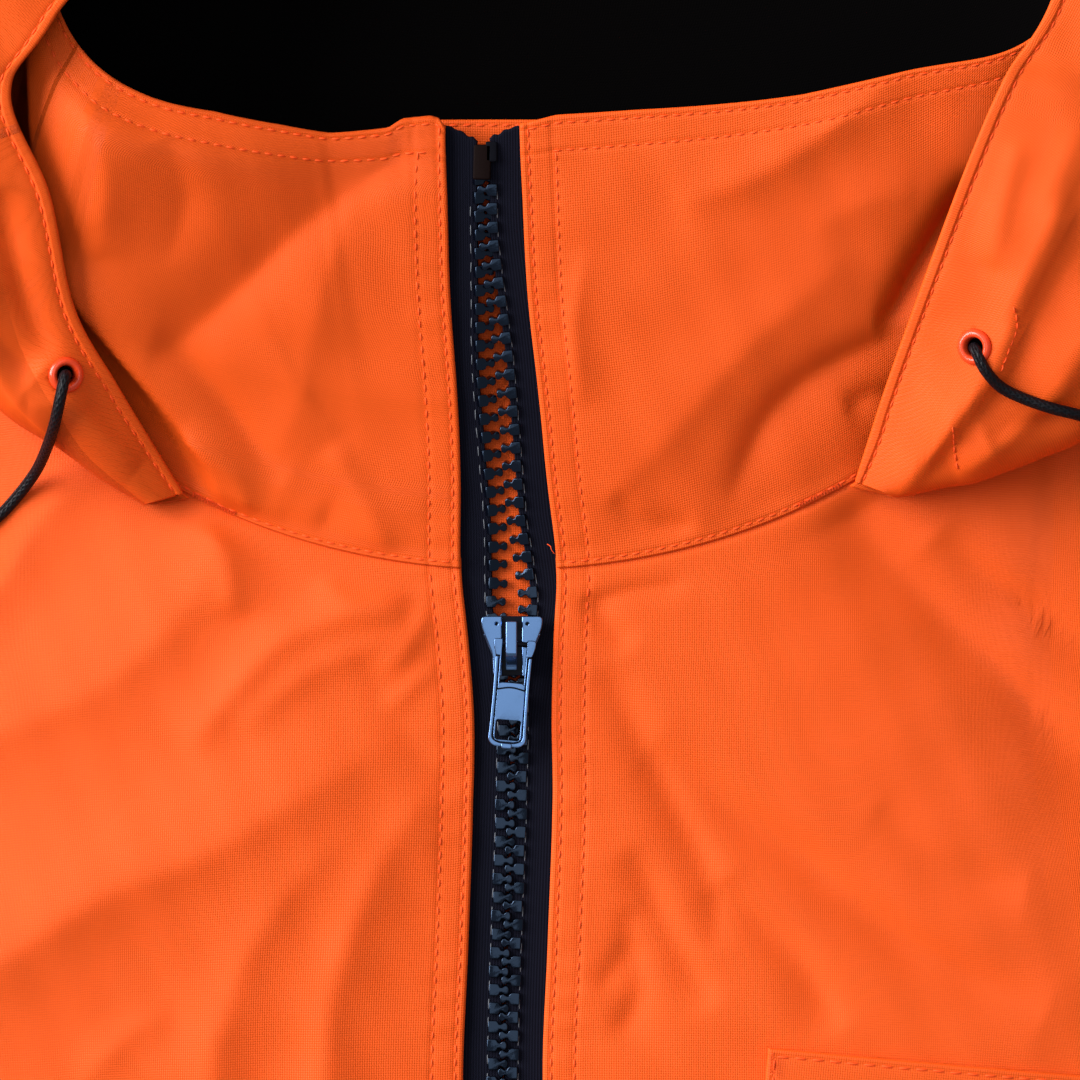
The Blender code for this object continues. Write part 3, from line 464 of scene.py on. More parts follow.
# Waves that cross each other: radians per millimetre in x and y, and where they start.
UNEVEN_WAVES = [
    (0.31, 0.11, 0.4),
    (-0.12, 0.27, 1.7),
    (0.19, -0.23, 2.9),
    (0.07, 0.43, 0.9),
    (0.52, 0.21, 4.1),
]


def uneven(points, size=0.1):
    """The slow unevenness of cloth that has been worn and laid down."""
    x = points[..., 0]
    y = points[..., 1]
    return size * sum(np.sin(a * x + b * y + c) for a, b, c in UNEVEN_WAVES) / 2


def groove(distance, at):
    """The dent that a row of stitches pulls into the cloth at a distance from an edge."""
    return -STITCH_GROOVE * np.exp(-(((distance - at) / STITCH_GROOVE_WIDTH) ** 2))


def spaced(*runs):
    """Places from runs of (end, step), starting at 0."""
    places = [0.0]
    for end, step in runs:
        count = max(round((end - places[-1]) / step), 1)
        places += list(np.linspace(places[-1], end, count + 1)[1:])
    return np.array(places)


# --- The garment's form ---


def neck(angle):
    """The neck seam: 0 at the zip, 90 at the wearer's left shoulder, 180 at the back."""
    turn = np.radians(angle)
    front = np.abs(angle) <= 90
    y = np.where(
        front,
        NECK_FRONT_DEPTH * (1 - np.cos(turn)),
        NECK_FRONT_DEPTH - NECK_BACK_DEPTH * np.cos(turn) ** 2,
    )
    low = np.where(front, NECK_FRONT_Z - NECK_SIDE_Z, NECK_SIDE_Z - NECK_BACK_Z)
    return stack(NECK_HALF * np.sin(turn), y, NECK_SIDE_Z + low * np.cos(turn))


def armhole(t):
    """The armhole seam from the underarm up to the shoulder, on the wearer's left."""
    bow = np.clip(np.sin(pi * np.asarray(t)), 0, 1)
    x = mix(UNDERARM[0], SHOULDER[0], t) - ARMHOLE_BOW * bow
    y = mix(UNDERARM[1], SHOULDER[1], t)
    return stack(x, y, SIDE_Z + (ARM_DOME + SLEEVE_EDGE - SIDE_Z + BACK_Z) * bow**0.7)


def zip_z(y):
    """Height of the front's surface along the zip."""
    above = mix(NECK_FRONT_Z, COLLAR_TOP_Z, y / COLLAR_TOP_Y)
    upper = mix(NECK_FRONT_Z, WAIST_Z, ramp(y / WAIST_Y))
    lower = mix(WAIST_Z, HEM_Z, ramp((y - WAIST_Y) / (HEM_Y - WAIST_Y)))
    return np.where(y > 0, above, np.where(y > WAIST_Y, upper, lower))


def outer_edge(v):
    """A front's outer edge, up the side seam and then the armhole."""
    share = (UNDERARM[1] - HEM_Y) / (SHOULDER[1] - HEM_Y)
    t = np.minimum(v / share, 1)
    side = stack(mix(HEM_X, UNDERARM[0], t), mix(HEM_Y, UNDERARM[1], t), SIDE_Z)
    return np.where(wide(v < share), side, armhole(np.clip((v - share) / (1 - share), 0, 1)))


# The share of a front's and the back's top edge that the neck seam takes.
NECK_SHARE = 0.5
SOFT_SPREAD = 0.035
SOFT_TAPS = ((-2, 0.1), (-1, 0.25), (0, 0.3), (1, 0.25), (2, 0.1))


def front_face(side):
    """The outer face of a front: u from the zip to the side, v from the hem to the shoulder."""
    column = COLUMN["left" if side > 0 else "right"]
    start = degrees(atan2(abs(float(row_at(CLOTH_EDGES, 0.0)[column])), NECK_HALF))

    def centre(v):
        y = mix(HEM_Y, 0.0, v)
        return stack(row_at(CLOTH_EDGES, y)[..., column] * side, y, zip_z(y))

    def hem(u):
        x = mix(centre(0.0)[..., 0], HEM_X, u)
        return stack(x, HEM_Y, SIDE_Z + (HEM_Z - SIDE_Z) * (1 - u**4))

    def top(u):
        """Along the neck seam, then the shoulder seam."""
        along = np.clip(u / NECK_SHARE, 0, 1)
        seam = neck(mix(start, 90.0, along))
        seam[..., 1] -= (1 - along) * neck(start)[1]
        t = np.clip((u - NECK_SHARE) / (1 - NECK_SHARE), 0, 1)
        shoulder = stack(
            mix(NECK_HALF, SHOULDER[0], t),
            mix(NECK_FRONT_DEPTH, SHOULDER[1], t),
            mix(NECK_SIDE_Z, SIDE_Z, ramp(t * 2.5)),
        )
        return np.where(wide(u < NECK_SHARE), seam, shoulder)

    def soft_top(u, v):
        """The top edge, with the corner at the end of the neck seam smoothed out below it."""
        spread = SOFT_SPREAD * ramp((1 - v) * 10)
        soft = sum(weight * top(np.clip(u + tap * spread, 0, 1)) for tap, weight in SOFT_TAPS)
        return mix(top(u), soft, wide(ramp((0.32 - np.abs(u - NECK_SHARE)) / 0.15)))

    def face(u, v):
        u = np.asarray(u, float)
        v = np.asarray(v, float)
        sides = mix(centre(v), outer_edge(v), wide(u))
        ends = mix(hem(u), soft_top(u, v), wide(v))
        low = mix(centre(0.0), outer_edge(0.0), wide(u))
        high = mix(centre(1.0), outer_edge(1.0), wide(u))
        point = sides + ends - mix(low, high, wide(v))
        point[..., 2] += FULLNESS * np.sin(pi * np.clip(u, 0, 1)) * np.sin(pi * np.clip(v, 0, 1))
        point[..., 0] *= side
        return point

    return face


def back_face(u, v):
    """The back: u from -1 to 1 across it, v from the hem up to the shoulders."""
    u = np.asarray(u, float)
    v = np.asarray(v, float)
    across = np.abs(u)

    def top(w):
        seam = neck(180 - 90 * np.clip(w / NECK_SHARE, 0, 1))
        t = np.clip((w - NECK_SHARE) / (1 - NECK_SHARE), 0, 1)
        shoulder = stack(mix(NECK_HALF, SHOULDER[0], t), mix(NECK_FRONT_DEPTH, SHOULDER[1], t), 0)
        return np.where(wide(w < NECK_SHARE), seam, shoulder)

    centre = stack(0.0, mix(HEM_Y, top(0.0)[..., 1], v), 0)
    sides = mix(centre, outer_edge(v), wide(across))
    ends = mix(stack(HEM_X * across, HEM_Y, 0), top(across), wide(v))
    low = stack(HEM_X * across, HEM_Y, 0)
    high = mix(top(0.0), outer_edge(1.0), wide(across))
    point = sides + ends - mix(low, high, wide(v))
    point[..., 0] *= np.sign(u)
    point[..., 2] = BACK_TOP
    return point


def collar_face(angle, v):
    """The collar: angle in degrees round the neck and v from the seam to the top edge."""
    wrapped = (np.asarray(angle, float) + 180) % 360 - 180
    v = np.asarray(v, float)
    base = neck(wrapped)
    tip = row_at(COLLAR_TOP, wrapped)[..., 1:]
    edges = row_at(CLOTH_EDGES, mix(0.0, COLLAR_TOP_Y, v))
    left = wrapped > 0
    seam_x = neck(COLLAR_START)[0]
    foot = np.where(left, seam_x, -seam_x)
    straight = mix(foot, np.where(left, CLOTH_EDGES[-1][COLUMN["left"]], CLOTH_EDGES[-1][COLUMN["right"]]), v)
    near = np.clip(1 - (np.abs(wrapped) - COLLAR_START) / (ZIP_REACH - COLLAR_START), 0, 1.2)
    shift = (np.where(left, edges[..., COLUMN["left"]], edges[..., COLUMN["right"]]) - straight) * near**2
    point = mix(base, tip, wide(v))
    turn = np.radians(wrapped)
    bulge = COLLAR_BULGE * np.sin(turn) ** 2 * np.sin(pi * v)
    point += stack(np.sin(turn) * bulge + shift, 0, np.cos(turn) * bulge)
    nicks = np.interp(tip[..., 0], *np.transpose(COLLAR_NICKS), left=0.0, right=0.0)
    point[..., 1] += np.where(np.abs(wrapped) < 75, nicks, 0.0) * v**8
    return point


FRONTS = {name: front_face(side) for name, side in SIDES.items()}


NEWTON_STEPS = 12


def find(face, x, y, u, v):
    """The (u, v) at which a face passes over the points (x, y), by Newton's method from a first guess."""
    u = np.full(np.shape(x), u)
    v = np.full(np.shape(x), v)
    step = 1e-3
    for _ in range(NEWTON_STEPS):
        here = face(u, v)
        du = (face(u + step, v) - here) / step
        dv = (face(u, v + step) - here) / step
        miss_x = x - here[..., 0]
        miss_y = y - here[..., 1]
        det = du[..., 0] * dv[..., 1] - dv[..., 0] * du[..., 1]
        u = np.clip(u + (miss_x * dv[..., 1] - dv[..., 0] * miss_y) / det, -0.2, 1.2)
        v = np.clip(v + (du[..., 0] * miss_y - miss_x * du[..., 1]) / det, -0.2, 1.2)
    return u, v


def shelf(x, y):
    """Height of what the hood rests on: the fronts, and past the shoulder seams the surface below."""
    shoulder_y = mix(NECK_FRONT_DEPTH, SHOULDER[1], (np.abs(x) - NECK_HALF) / (SHOULDER[0] - NECK_HALF))
    turn = np.minimum(np.abs(x) / NECK_HALF, 1.0)
    inside = (np.abs(x) < NECK_HALF) & (y > NECK_FRONT_DEPTH - NECK_BACK_DEPTH * (1 - turn * turn) - 0.5)
    z = np.zeros(np.shape(x))
    for name, side in SIDES.items():
        face = FRONTS[name]
        u, v = find(face, x, np.minimum(y, shoulder_y), 0.4, 0.95)
        height = face(np.clip(u, 0, 1), np.minimum(v, 1.0))[..., 2] + HOOD_CLEARANCE
        z = np.where(x * side > 0, height, z)
    past = mix(NECK_SIDE_Z + HOOD_CLEARANCE, 0.0, ramp((y - shoulder_y - SHELF_EDGE) / SHELF_DROP))
    return np.where(inside, 0.0, np.where(y > shoulder_y, past, z))


def hood_face(row, v):
    """The hood: row counts its sections round from the left front corner, v runs from seam to brim."""
    at = through(HOOD_ROWS, row)
    turn = pi * np.clip(np.asarray(v, float), 0, 1)
    reach = wide(np.sin(turn).clip(0, 1) ** 0.7)
    out = at[..., 2:4]
    lower = mix(at[..., 0:2], out, reach)
    upper = mix(at[..., 5:7], out, reach)
    under = turn < pi / 2
    plan = np.where(wide(under), lower, upper)
    low = mix(shelf(plan[..., 0], plan[..., 1]), at[..., 4], (1 - np.cos(turn)) ** 2)
    rise = np.clip(-np.cos(turn), 0, 1) ** 0.6
    high = mix(at[..., 4], at[..., 7], rise) + HOOD_CREST * np.sin(2 * turn - pi)
    return stack(plan[..., 0], plan[..., 1], np.where(under, low, high))


def sleeve_face(side, grow=0.0):
    """A sleeve lying flat: u goes once round it, v from the armhole to the cuff."""
    centre_z = BACK_Z + SLEEVE_EDGE / 2

    def face(u, v):
        turn = 2 * pi * np.asarray(u, float)
        v = np.asarray(v, float)
        share = 0.5 - 0.5 * np.cos(turn)
        upper = np.sin(turn) >= 0
        seam = armhole(1 - share)
        straight = stack(mix(SHOULDER[0], UNDERARM[0], share), mix(SHOULDER[1], UNDERARM[1], share), 0)
        cuff = stack(mix(CUFF_OUTER[0], CUFF_INNER[0], share), mix(CUFF_OUTER[1], CUFF_INNER[1], share), 0)
        point = mix(straight, cuff, wide(v)) + (seam - straight) * wide((1 - v) ** 3)
        across = unit(np.array([CUFF_INNER[0] - CUFF_OUTER[0], CUFF_INNER[1] - CUFF_OUTER[1], 0.0]))
        width = unit(mix(np.array([0.0, -1.0, 0.0]), across, wide(v)))
        point = point - width * wide(grow * np.cos(turn))
        edge = (SLEEVE_EDGE / 2 + grow) * np.abs(np.sin(turn)).clip(0, 1) ** 0.35
        dome = ARM_DOME * np.sin(pi * share).clip(0, 1) ** 0.9
        point[..., 2] = np.where(upper, centre_z + edge + dome, centre_z - edge)
        point[..., 0] *= side
        return point

    return face


# --- Making meshes ---


class Panel:
    """Points over one face of cloth, on lines across it (us) and along it (vs).

    A face gives points for (u, v). A lift gives how far each of those points moves out, for (points, u, v).
    """

    def __init__(self, face, us, vs, lift=None, outward=1, sink=0.0):
        self.us = np.asarray(us, float)
        self.vs = np.asarray(vs, float)
        self.outward = outward
        u, v = np.meshgrid(self.us, self.vs, indexing="ij")
        self.points = face(u, v)
        if lift is not None:
            self.points = self.points + self.normals() * wide(lift(self.points, u, v))
        if sink:
            self.points = self.points - self.normals() * sink

    def normals(self):
        across = np.gradient(self.points, axis=0)
        along = np.gradient(self.points, axis=1)
        return unit(np.cross(across, along)) * self.outward

    def at(self, values, u, v):
        """Values on the grid, read between its lines."""
        i = np.clip(np.interp(u, self.us, np.arange(len(self.us))), 0, len(self.us) - 1.001)
        j = np.clip(np.interp(v, self.vs, np.arange(len(self.vs))), 0, len(self.vs) - 1.001)
        a = i.astype(int)
        b = j.astype(int)
        s = wide(i - a)
        t = wide(j - b)
        return mix(mix(values[a, b], values[a + 1, b], s), mix(values[a, b + 1], values[a + 1, b + 1], s), t)

    def line(self, u, v):
        """A path over the panel and the directions out of it."""
        u, v = np.broadcast_arrays(np.asarray(u, float), np.asarray(v, float))
        return self.at(self.points, u, v), unit(self.at(self.normals(), u, v))

    def flat(self):
        """The lengths along the cloth to each point, in metres, which the weave follows."""
        across = np.linalg.norm(np.diff(self.points, axis=0), axis=-1)
        along = np.linalg.norm(np.diff(self.points, axis=1), axis=-1)
        u = np.concatenate([np.zeros((1, across.shape[1])), np.cumsum(across, axis=0)])
        v = np.concatenate([np.zeros((along.shape[0], 1)), np.cumsum(along, axis=1)], axis=1)
        return stack(u, v) * MM


def mesh_object(name, vertices, faces, finish, uv=None, sharp=None):
    """An object from vertices in millimetres, with none of them below the surface it lies on."""
    mesh = bpy.data.meshes.new(name)
    placed = (np.maximum(vertices, (-np.inf, -np.inf, 0.0)) + (0, NECK_Y, 0)) * MM
    mesh.from_pydata(placed.tolist(), [], [list(map(int, face)) for face in faces])
    mesh.polygons.foreach_set("use_smooth", np.ones(len(mesh.polygons), bool))
    if uv is not None:
        corners = np.zeros(len(mesh.loops), int)
        mesh.loops.foreach_get("vertex_index", corners)
        layer = mesh.uv_layers.new(name="cloth")
        layer.data.foreach_set("uv", np.asarray(uv, float)[corners].ravel())
    if sharp is not None:
        mesh.set_sharp_from_angle(angle=radians(sharp))
    mesh.materials.append(finish)
    mesh.update()
    made = bpy.data.objects.new(name, mesh)
    bpy.context.scene.collection.objects.link(made)
    return made


RIM_BULGE = 0.45


def wall(name, panel, thickness, finish, wrap=False, hole=None):
    """A closed wall of cloth under a panel, with its edges rounded as if folded over."""
    points = panel.points
    rows, columns = points.shape[:2]
    inner = points - panel.normals() * thickness
    index = np.arange(rows * columns).reshape(rows, columns)
    following = np.roll(index, -1, axis=0) if wrap else index[1:]
    base = index if wrap else index[:-1]
    quads = np.stack([base[:, :-1], following[:, :-1], following[:, 1:], base[:, 1:]], -1).reshape(-1, 4)
    flat = points.reshape(-1, 3)
    keep = np.ones(len(quads), bool)
    if hole is not None:
        middle = flat[quads].mean(axis=1)
        spot, radius, lowest = hole
        distance = np.hypot(middle[:, 0] - spot[0], middle[:, 1] - spot[1])
        keep = ~((distance < radius) & (middle[:, 2] > lowest))
    count = rows * columns
    faces = [tuple(q) for q in quads[keep]]
    faces += [tuple(q[::-1] + count) for q in quads[keep]]
    if wrap:
        loops = [index[:, 0], index[::-1, -1]]
        outward = [points[:, 0] - points[:, 1], (points[:, -1] - points[:, -2])[::-1]]
    else:
        border = [index[:-1, 0], index[-1, :-1], index[:0:-1, -1], index[0, :0:-1]]
        loops = [np.concatenate(border)]
        push = np.zeros_like(points)
        push[0] += unit(points[0] - points[1])
        push[-1] += unit(points[-1] - points[-2])
        push[:, 0] += unit(points[:, 0] - points[:, 1])
        push[:, -1] += unit(points[:, -1] - points[:, -2])
        outward = [push.reshape(-1, 3)[loops[0]]]
    rim_points = []
    rim_uv = []
    uv = panel.flat().reshape(-1, 2)
    start = 2 * count
    for loop, push in zip(loops, outward):
        middle = (flat[loop] + inner.reshape(-1, 3)[loop]) / 2
        rim_points.append(middle + unit(push) * thickness * RIM_BULGE)
        rim_uv.append(uv[loop])
        size = len(loop)
        for k in range(size):
            a = loop[k]
            b = loop[(k + 1) % size]
            rim_a = start + k
            rim_b = start + (k + 1) % size
            faces.append((b, a, rim_a, rim_b))
            faces.append((rim_b, rim_a, a + count, b + count))
        start += size
    # The rim of the hole: edges of the quads taken away that no other such quad shares.
    gone = {(quad[k], quad[(k + 1) % 4]): True for quad in quads[~keep] for k in range(4)}
    for a, b in gone:
        if (b, a) not in gone:
            faces.append((a, b, b + count, a + count))
    if panel.outward < 0:
        faces = [face[::-1] for face in faces]
    vertices = np.concatenate([flat, inner.reshape(-1, 3), *rim_points])
    made = mesh_object(name, vertices, faces, finish, np.concatenate([uv, uv, *rim_uv]))
    if hole is not None:
        tidy = bmesh.new()
        tidy.from_mesh(made.data)
        loose = [vert for vert in tidy.verts if not vert.link_faces]
        bmesh.ops.delete(tidy, geom=loose, context="VERTS")
        tidy.to_mesh(made.data)
        tidy.free()
    return made


def cross_frame(tangent, normal):
    """Unit vectors across and up for a row of pieces that run along a path."""
    tangent = unit(tangent)
    across = unit(np.cross(tangent, normal))
    return tangent, across, unit(np.cross(across, tangent))


def spread_along(points, pitch, offset=0.5):
    """Where the middles of evenly spaced pieces fall on a path, as fractional indices into it."""
    steps = np.linalg.norm(np.diff(points, axis=0), axis=1)
    run = np.concatenate([[0.0], np.cumsum(steps)])
    places = np.arange(offset * pitch, run[-1], pitch)
    return np.interp(places, run, np.arange(len(points)))


def read_at(values, where):
    """Rows of an array at fractional indices."""
    i = np.clip(where.astype(int), 0, len(values) - 2)
    return mix(values[i], values[i + 1], wide(where - i))


# Sections along one stitch: share of half its length, share of its thickness, height.
STITCH_RINGS = [
    (-1.0, 0.25, -0.2),
    (-0.72, 0.85, 0.0),
    (0.0, 1.0, 0.14),
    (0.72, 0.85, 0.0),
    (1.0, 0.25, -0.2),
]
STITCH_SIDES = 6
UP = (0.0, 0.0, 1.0)


def stitching(name, rows, finish, thread=THREAD):
    """Rows of separate stitches: each row is (points, normals, pitch, share of the pitch that shows)."""
    vertices = []
    faces = []
    for points, normals, pitch, share in rows:
        where = spread_along(points, pitch)
        centres = read_at(points, where)
        ahead = read_at(points, np.minimum(where + 0.3, len(points) - 1.001))
        behind = read_at(points, np.maximum(where - 0.3, 0))
        along, across, up = cross_frame(ahead - behind, read_at(normals, where))
        wobble = 0.06 * np.sin(np.arange(len(centres)) * 2.4)
        for k in range(len(centres)):
            start = len(vertices)
            for reach, girth, height in STITCH_RINGS:
                middle = centres[k] + along[k] * (reach * pitch * share / 2) + up[k] * height
                middle = middle + across[k] * wobble[k] * reach
                for s in range(STITCH_SIDES):
                    turn = 2 * pi * s / STITCH_SIDES
                    side = across[k] * cos(turn) + up[k] * sin(turn) * 0.8
                    vertices.append(middle + side * (thread / 2 * girth))
            for ring in range(len(STITCH_RINGS) - 1):
                low = start + ring * STITCH_SIDES
                for s in range(STITCH_SIDES):
                    t = (s + 1) % STITCH_SIDES
                    faces.append((low + s, low + s + STITCH_SIDES, low + t + STITCH_SIDES, low + t))
            faces.append([start + s for s in range(STITCH_SIDES)])
            last = start + (len(STITCH_RINGS) - 1) * STITCH_SIDES
            faces.append([last + s for s in range(STITCH_SIDES)][::-1])
    return mesh_object(name, vertices, faces, finish)


def tube(name, path, radius, finish, sides):
    """A closed round tube along a path of points, with the lengths along and round it as its UVs."""
    path = np.asarray(path, float)
    tangent = unit(np.gradient(path, axis=0))
    frames = []
    normal = unit(np.cross(tangent[0], (0.3, 0.2, 1.0)))
    for way in tangent:
        normal = unit(normal - way * np.dot(normal, way))
        frames.append((normal, np.cross(way, normal)))
    vertices = []
    uv = []
    run = np.concatenate([[0.0], np.cumsum(np.linalg.norm(np.diff(path, axis=0), axis=1))])
    for k, (centre, (first, second)) in enumerate(zip(path, frames)):
        for s in range(sides):
            turn = 2 * pi * s / sides
            vertices.append(centre + (first * cos(turn) + second * sin(turn)) * radius)
            uv.append((run[k] * MM, s / sides))
    faces = []
    for k in range(len(path) - 1):
        for s in range(sides):
            t = (s + 1) % sides
            low = k * sides
            faces.append((low + s, low + t, low + t + sides, low + s + sides))
    faces.append(list(range(sides))[::-1])
    last = (len(path) - 1) * sides
    faces.append([last + s for s in range(sides)])
    return mesh_object(name, vertices, faces, finish, uv)


def rounded(corners, radius, steps=4):
    """An outline with its corners rounded. A corner may be (x, y) or (x, y, its own radius)."""
    outline = []
    count = len(corners)
    for k in range(count):
        here = Vector(corners[k][:2])
        size = corners[k][2] if len(corners[k]) > 2 else radius
        before = Vector(corners[k - 1][:2]) - here
        after = Vector(corners[(k + 1) % count][:2]) - here
        cut = min(size, before.length * 0.45, after.length * 0.45)
        a = here + before.normalized() * cut
        b = here + after.normalized() * cut
        for s in range(steps + 1):
            t = s / steps
            outline.append(tuple(a * (1 - t) ** 2 + here * (2 * t * (1 - t)) + b * t**2))
    return outline


def plate_mesh(outlines, low, high, bevel):
    """A flat plate with rounded edges between two heights, as a mesh in millimetres."""
    curve = bpy.data.curves.new("plate", "CURVE")
    curve.dimensions = "2D"
    curve.fill_mode = "BOTH"
    curve.extrude = (high - low) / 2 - bevel
    curve.bevel_depth = bevel
    curve.bevel_resolution = 2
    curve.offset = -bevel
    for outline in outlines:
        line = curve.splines.new("POLY")
        line.points.add(len(outline) - 1)
        for point, (x, y) in zip(line.points, outline):
            point.co = (x, y, 0, 1)
        line.use_cyclic_u = True
    guide = bpy.data.objects.new("plate", curve)
    bpy.context.scene.collection.objects.link(guide)
    bpy.context.view_layer.update()
    mesh = bpy.data.meshes.new_from_object(guide.evaluated_get(bpy.context.evaluated_depsgraph_get()))
    bpy.data.objects.remove(guide)
    bpy.data.curves.remove(curve)
    shape = bmesh.new()
    shape.from_mesh(mesh)
    bpy.data.meshes.remove(mesh)
    bmesh.ops.remove_doubles(shape, verts=shape.verts, dist=1e-4)
    bmesh.ops.recalc_face_normals(shape, faces=shape.faces)
    bmesh.ops.translate(shape, verts=shape.verts, vec=(0, 0, (low + high) / 2))
    return shape


SHARP_EDGE = 35


def join_shapes(name, shapes, finish, place=Matrix()):
    """One object from several bmesh shapes in millimetres, each already in place."""
    vertices = []
    faces = []
    for shape in shapes:
        start = len(vertices)
        shape.verts.index_update()
        vertices += [tuple(place @ vert.co) for vert in shape.verts]
        faces += [[start + vert.index for vert in face.verts] for face in shape.faces]
        shape.free()
    return mesh_object(name, vertices, faces, finish, sharp=SHARP_EDGE)


# --- Materials ---


class Finish:
    """A Principled material and short ways to add nodes to it."""

    def __init__(self, name, color, roughness, metallic=0.0, **inputs):
        self.material = bpy.data.materials.new(name)
        self.material.use_nodes = True
        self.tree = self.material.node_tree
        self.shader = self.tree.nodes["Principled BSDF"]
        self.set("Base Color", (*color, 1))
        self.set("Roughness", roughness)
        self.set("Metallic", metallic)
        for key, value in inputs.items():
            self.set(key.replace("_", " "), value)

    def feed(self, socket, value):
        """Links a node's output to a socket, or gives the socket a plain value."""
        if isinstance(value, bpy.types.NodeSocket):
            self.tree.links.new(value, socket)
        else:
            socket.default_value = value

    def set(self, name, value):
        self.feed(self.shader.inputs[name], value)

    def node(self, kind, **inputs):
        made = self.tree.nodes.new(kind)
        for key, value in inputs.items():
            self.feed(made.inputs[key.replace("_", " ")], value)
        return made

    def math(self, operation, *values):
        made = self.tree.nodes.new("ShaderNodeMath")
        made.operation = operation
        for socket, value in zip(made.inputs, values):
            self.feed(socket, value)
        return made.outputs[0]

    def product(self, *values):
        return self.math("MULTIPLY", *values)

    def scaled_sum(self, value, factor, added):
        return self.math("MULTIPLY_ADD", value, factor, added)

    def uv(self):
        made = self.tree.nodes.new("ShaderNodeUVMap")
        made.uv_map = "cloth"
        split = self.node("ShaderNodeSeparateXYZ", Vector=made.outputs[0])
        return split.outputs[0], split.outputs[1]

    def noise(self, scale, detail=2.0, stretch=(1.0, 1.0, 1.0)):
        place = self.tree.nodes.new("ShaderNodeTexCoord")
        mapped = self.node("ShaderNodeMapping", Vector=place.outputs["Object"], Scale=stretch)
        made = self.node("ShaderNodeTexNoise", Vector=mapped.outputs[0], Scale=scale, Detail=detail)
        return made.outputs[0]

    def bump(self, height, depth):
        """The normal for a height from 0 to 1 that stands for a depth in millimetres."""
        return self.node("ShaderNodeBump", Height=height, Distance=depth * MM, Strength=1.0).outputs[0]

    def shade(self, factor, low, high):
        """Mixes between two colours by a factor."""
        blend = self.tree.nodes.new("ShaderNodeMix")
        blend.data_type = "RGBA"
        self.tree.links.new(factor, blend.inputs[0])
        blend.inputs[6].default_value = (*low, 1)
        blend.inputs[7].default_value = (*high, 1)
        return blend.outputs[2]


def scaled(color, factor):
    return tuple(c * factor for c in color)


def plain_weave(finish, pitch):
    """The height of a plain weave, 0 to 1, with each thread passing over and under the next."""
    u, v = finish.uv()
    x = finish.product(u, pi / (pitch * MM))
    y = finish.product(v, pi / (pitch * MM))
    cos_x = finish.math("COSINE", x)
    cos_y = finish.math("COSINE", y)
    over = finish.scaled_sum(finish.product(cos_x, cos_y), 0.5, 0.5)
    warp = finish.product(finish.math("ABSOLUTE", cos_x), over)
    weft = finish.product(finish.math("ABSOLUTE", cos_y), finish.math("SUBTRACT", 1.0, over))
    return finish.math("ADD", warp, weft)


WEAVE_PITCH = 0.5
CLOTH_TINT = 0.06


def woven(name, color, roughness, pitch=WEAVE_PITCH, depth=0.09, contrast=0.4, **inputs):
    """Woven cloth: threads with painted shade in the gaps between them, its bump, and slow random changes of
    tone.
    """
    finish = Finish(name, color, roughness, **inputs)
    height = plain_weave(finish, pitch)
    slow = finish.noise(14.0, 3.0)
    slub = finish.noise(900.0, 1.0, (1.0, 0.12, 1.0))
    # The weave's low parts are darker: painted shade in the gaps between threads. The slow and slub noises
    # are the cloth's own random tone.
    weave_shade_and_tone = finish.scaled_sum(height, contrast, 1 - contrast)
    weave_shade_and_tone = finish.product(weave_shade_and_tone, finish.scaled_sum(slow, CLOTH_TINT, 1 - CLOTH_TINT / 2))
    weave_shade_and_tone = finish.product(weave_shade_and_tone, finish.scaled_sum(slub, CLOTH_TINT, 1 - CLOTH_TINT / 2))
    # The colour of the painted shade in the gaps between threads.
    shadow = (color[0] * 0.6, color[1] * 0.25, color[2] * 0.2)
    finish.set("Base Color", finish.shade(weave_shade_and_tone, shadow, color))
    finish.set("Normal", finish.bump(height, depth))
    return finish.material


def knitted(name, color, roughness, pitch, depth, **inputs):
    """The zip's tape: fine upright ribs crossed by slanting loops."""
    finish = Finish(name, color, roughness, **inputs)
    u, v = finish.uv()
    rib = finish.math("SINE", finish.product(u, 2 * pi / (pitch * MM)))
    slant = finish.math("ADD", finish.product(u, 0.9), v)
    loop = finish.math("SINE", finish.product(slant, 2 * pi / (pitch * 0.8 * MM)))
    height = finish.scaled_sum(rib, 0.3, finish.scaled_sum(loop, 0.2, 0.5))
    # The hollows between ribs and loops are painted darker and their tops lighter: painted shade and painted
    # highlight.
    finish.set("Base Color", finish.shade(height, scaled(color, 0.45), scaled(color, 1.5)))
    finish.set("Normal", finish.bump(height, depth))
    return finish.material


BRAID_PITCH = 1.7
BRAID_STRANDS = 8
BRAID_DEPTH = 0.06


def braided(name, color, roughness):
    """The cord's braid: strands crossing round it in both directions."""
    finish = Finish(name, color, roughness, Specular_IOR_Level=0.2)
    u, v = finish.uv()
    along = finish.product(u, 2 * pi / (BRAID_PITCH * MM))
    around = finish.product(v, 2 * pi * BRAID_STRANDS)
    one = finish.math("SINE", finish.math("ADD", along, around))
    two = finish.math("SINE", finish.math("SUBTRACT", along, around))
    height = finish.math("MAXIMUM", one, two)
    # The hollows between strands are painted darker and their crowns lighter: painted shade and painted
    # highlight.
    finish.set("Base Color", finish.shade(height, scaled(color, 0.5), scaled(color, 1.3)))
    finish.set("Normal", finish.bump(height, BRAID_DEPTH))
    return finish.material


def moulded(name, color, roughness, grain=0.02, **inputs):
    """Moulded plastic or enamel, with the faint unevenness of its surface."""
    finish = Finish(name, color, roughness, **inputs)
    fine = finish.noise(2600.0, 2.0)
    slow = finish.noise(220.0, 2.0)
    height = finish.scaled_sum(slow, 3.0, fine)
    finish.set("Normal", finish.bump(height, grain))
    finish.set("Roughness", finish.scaled_sum(fine, 0.1, roughness - 0.05))
    return finish.material


EMBOSS_PITCH = 3.0
EMBOSS_DEPTH = 0.04


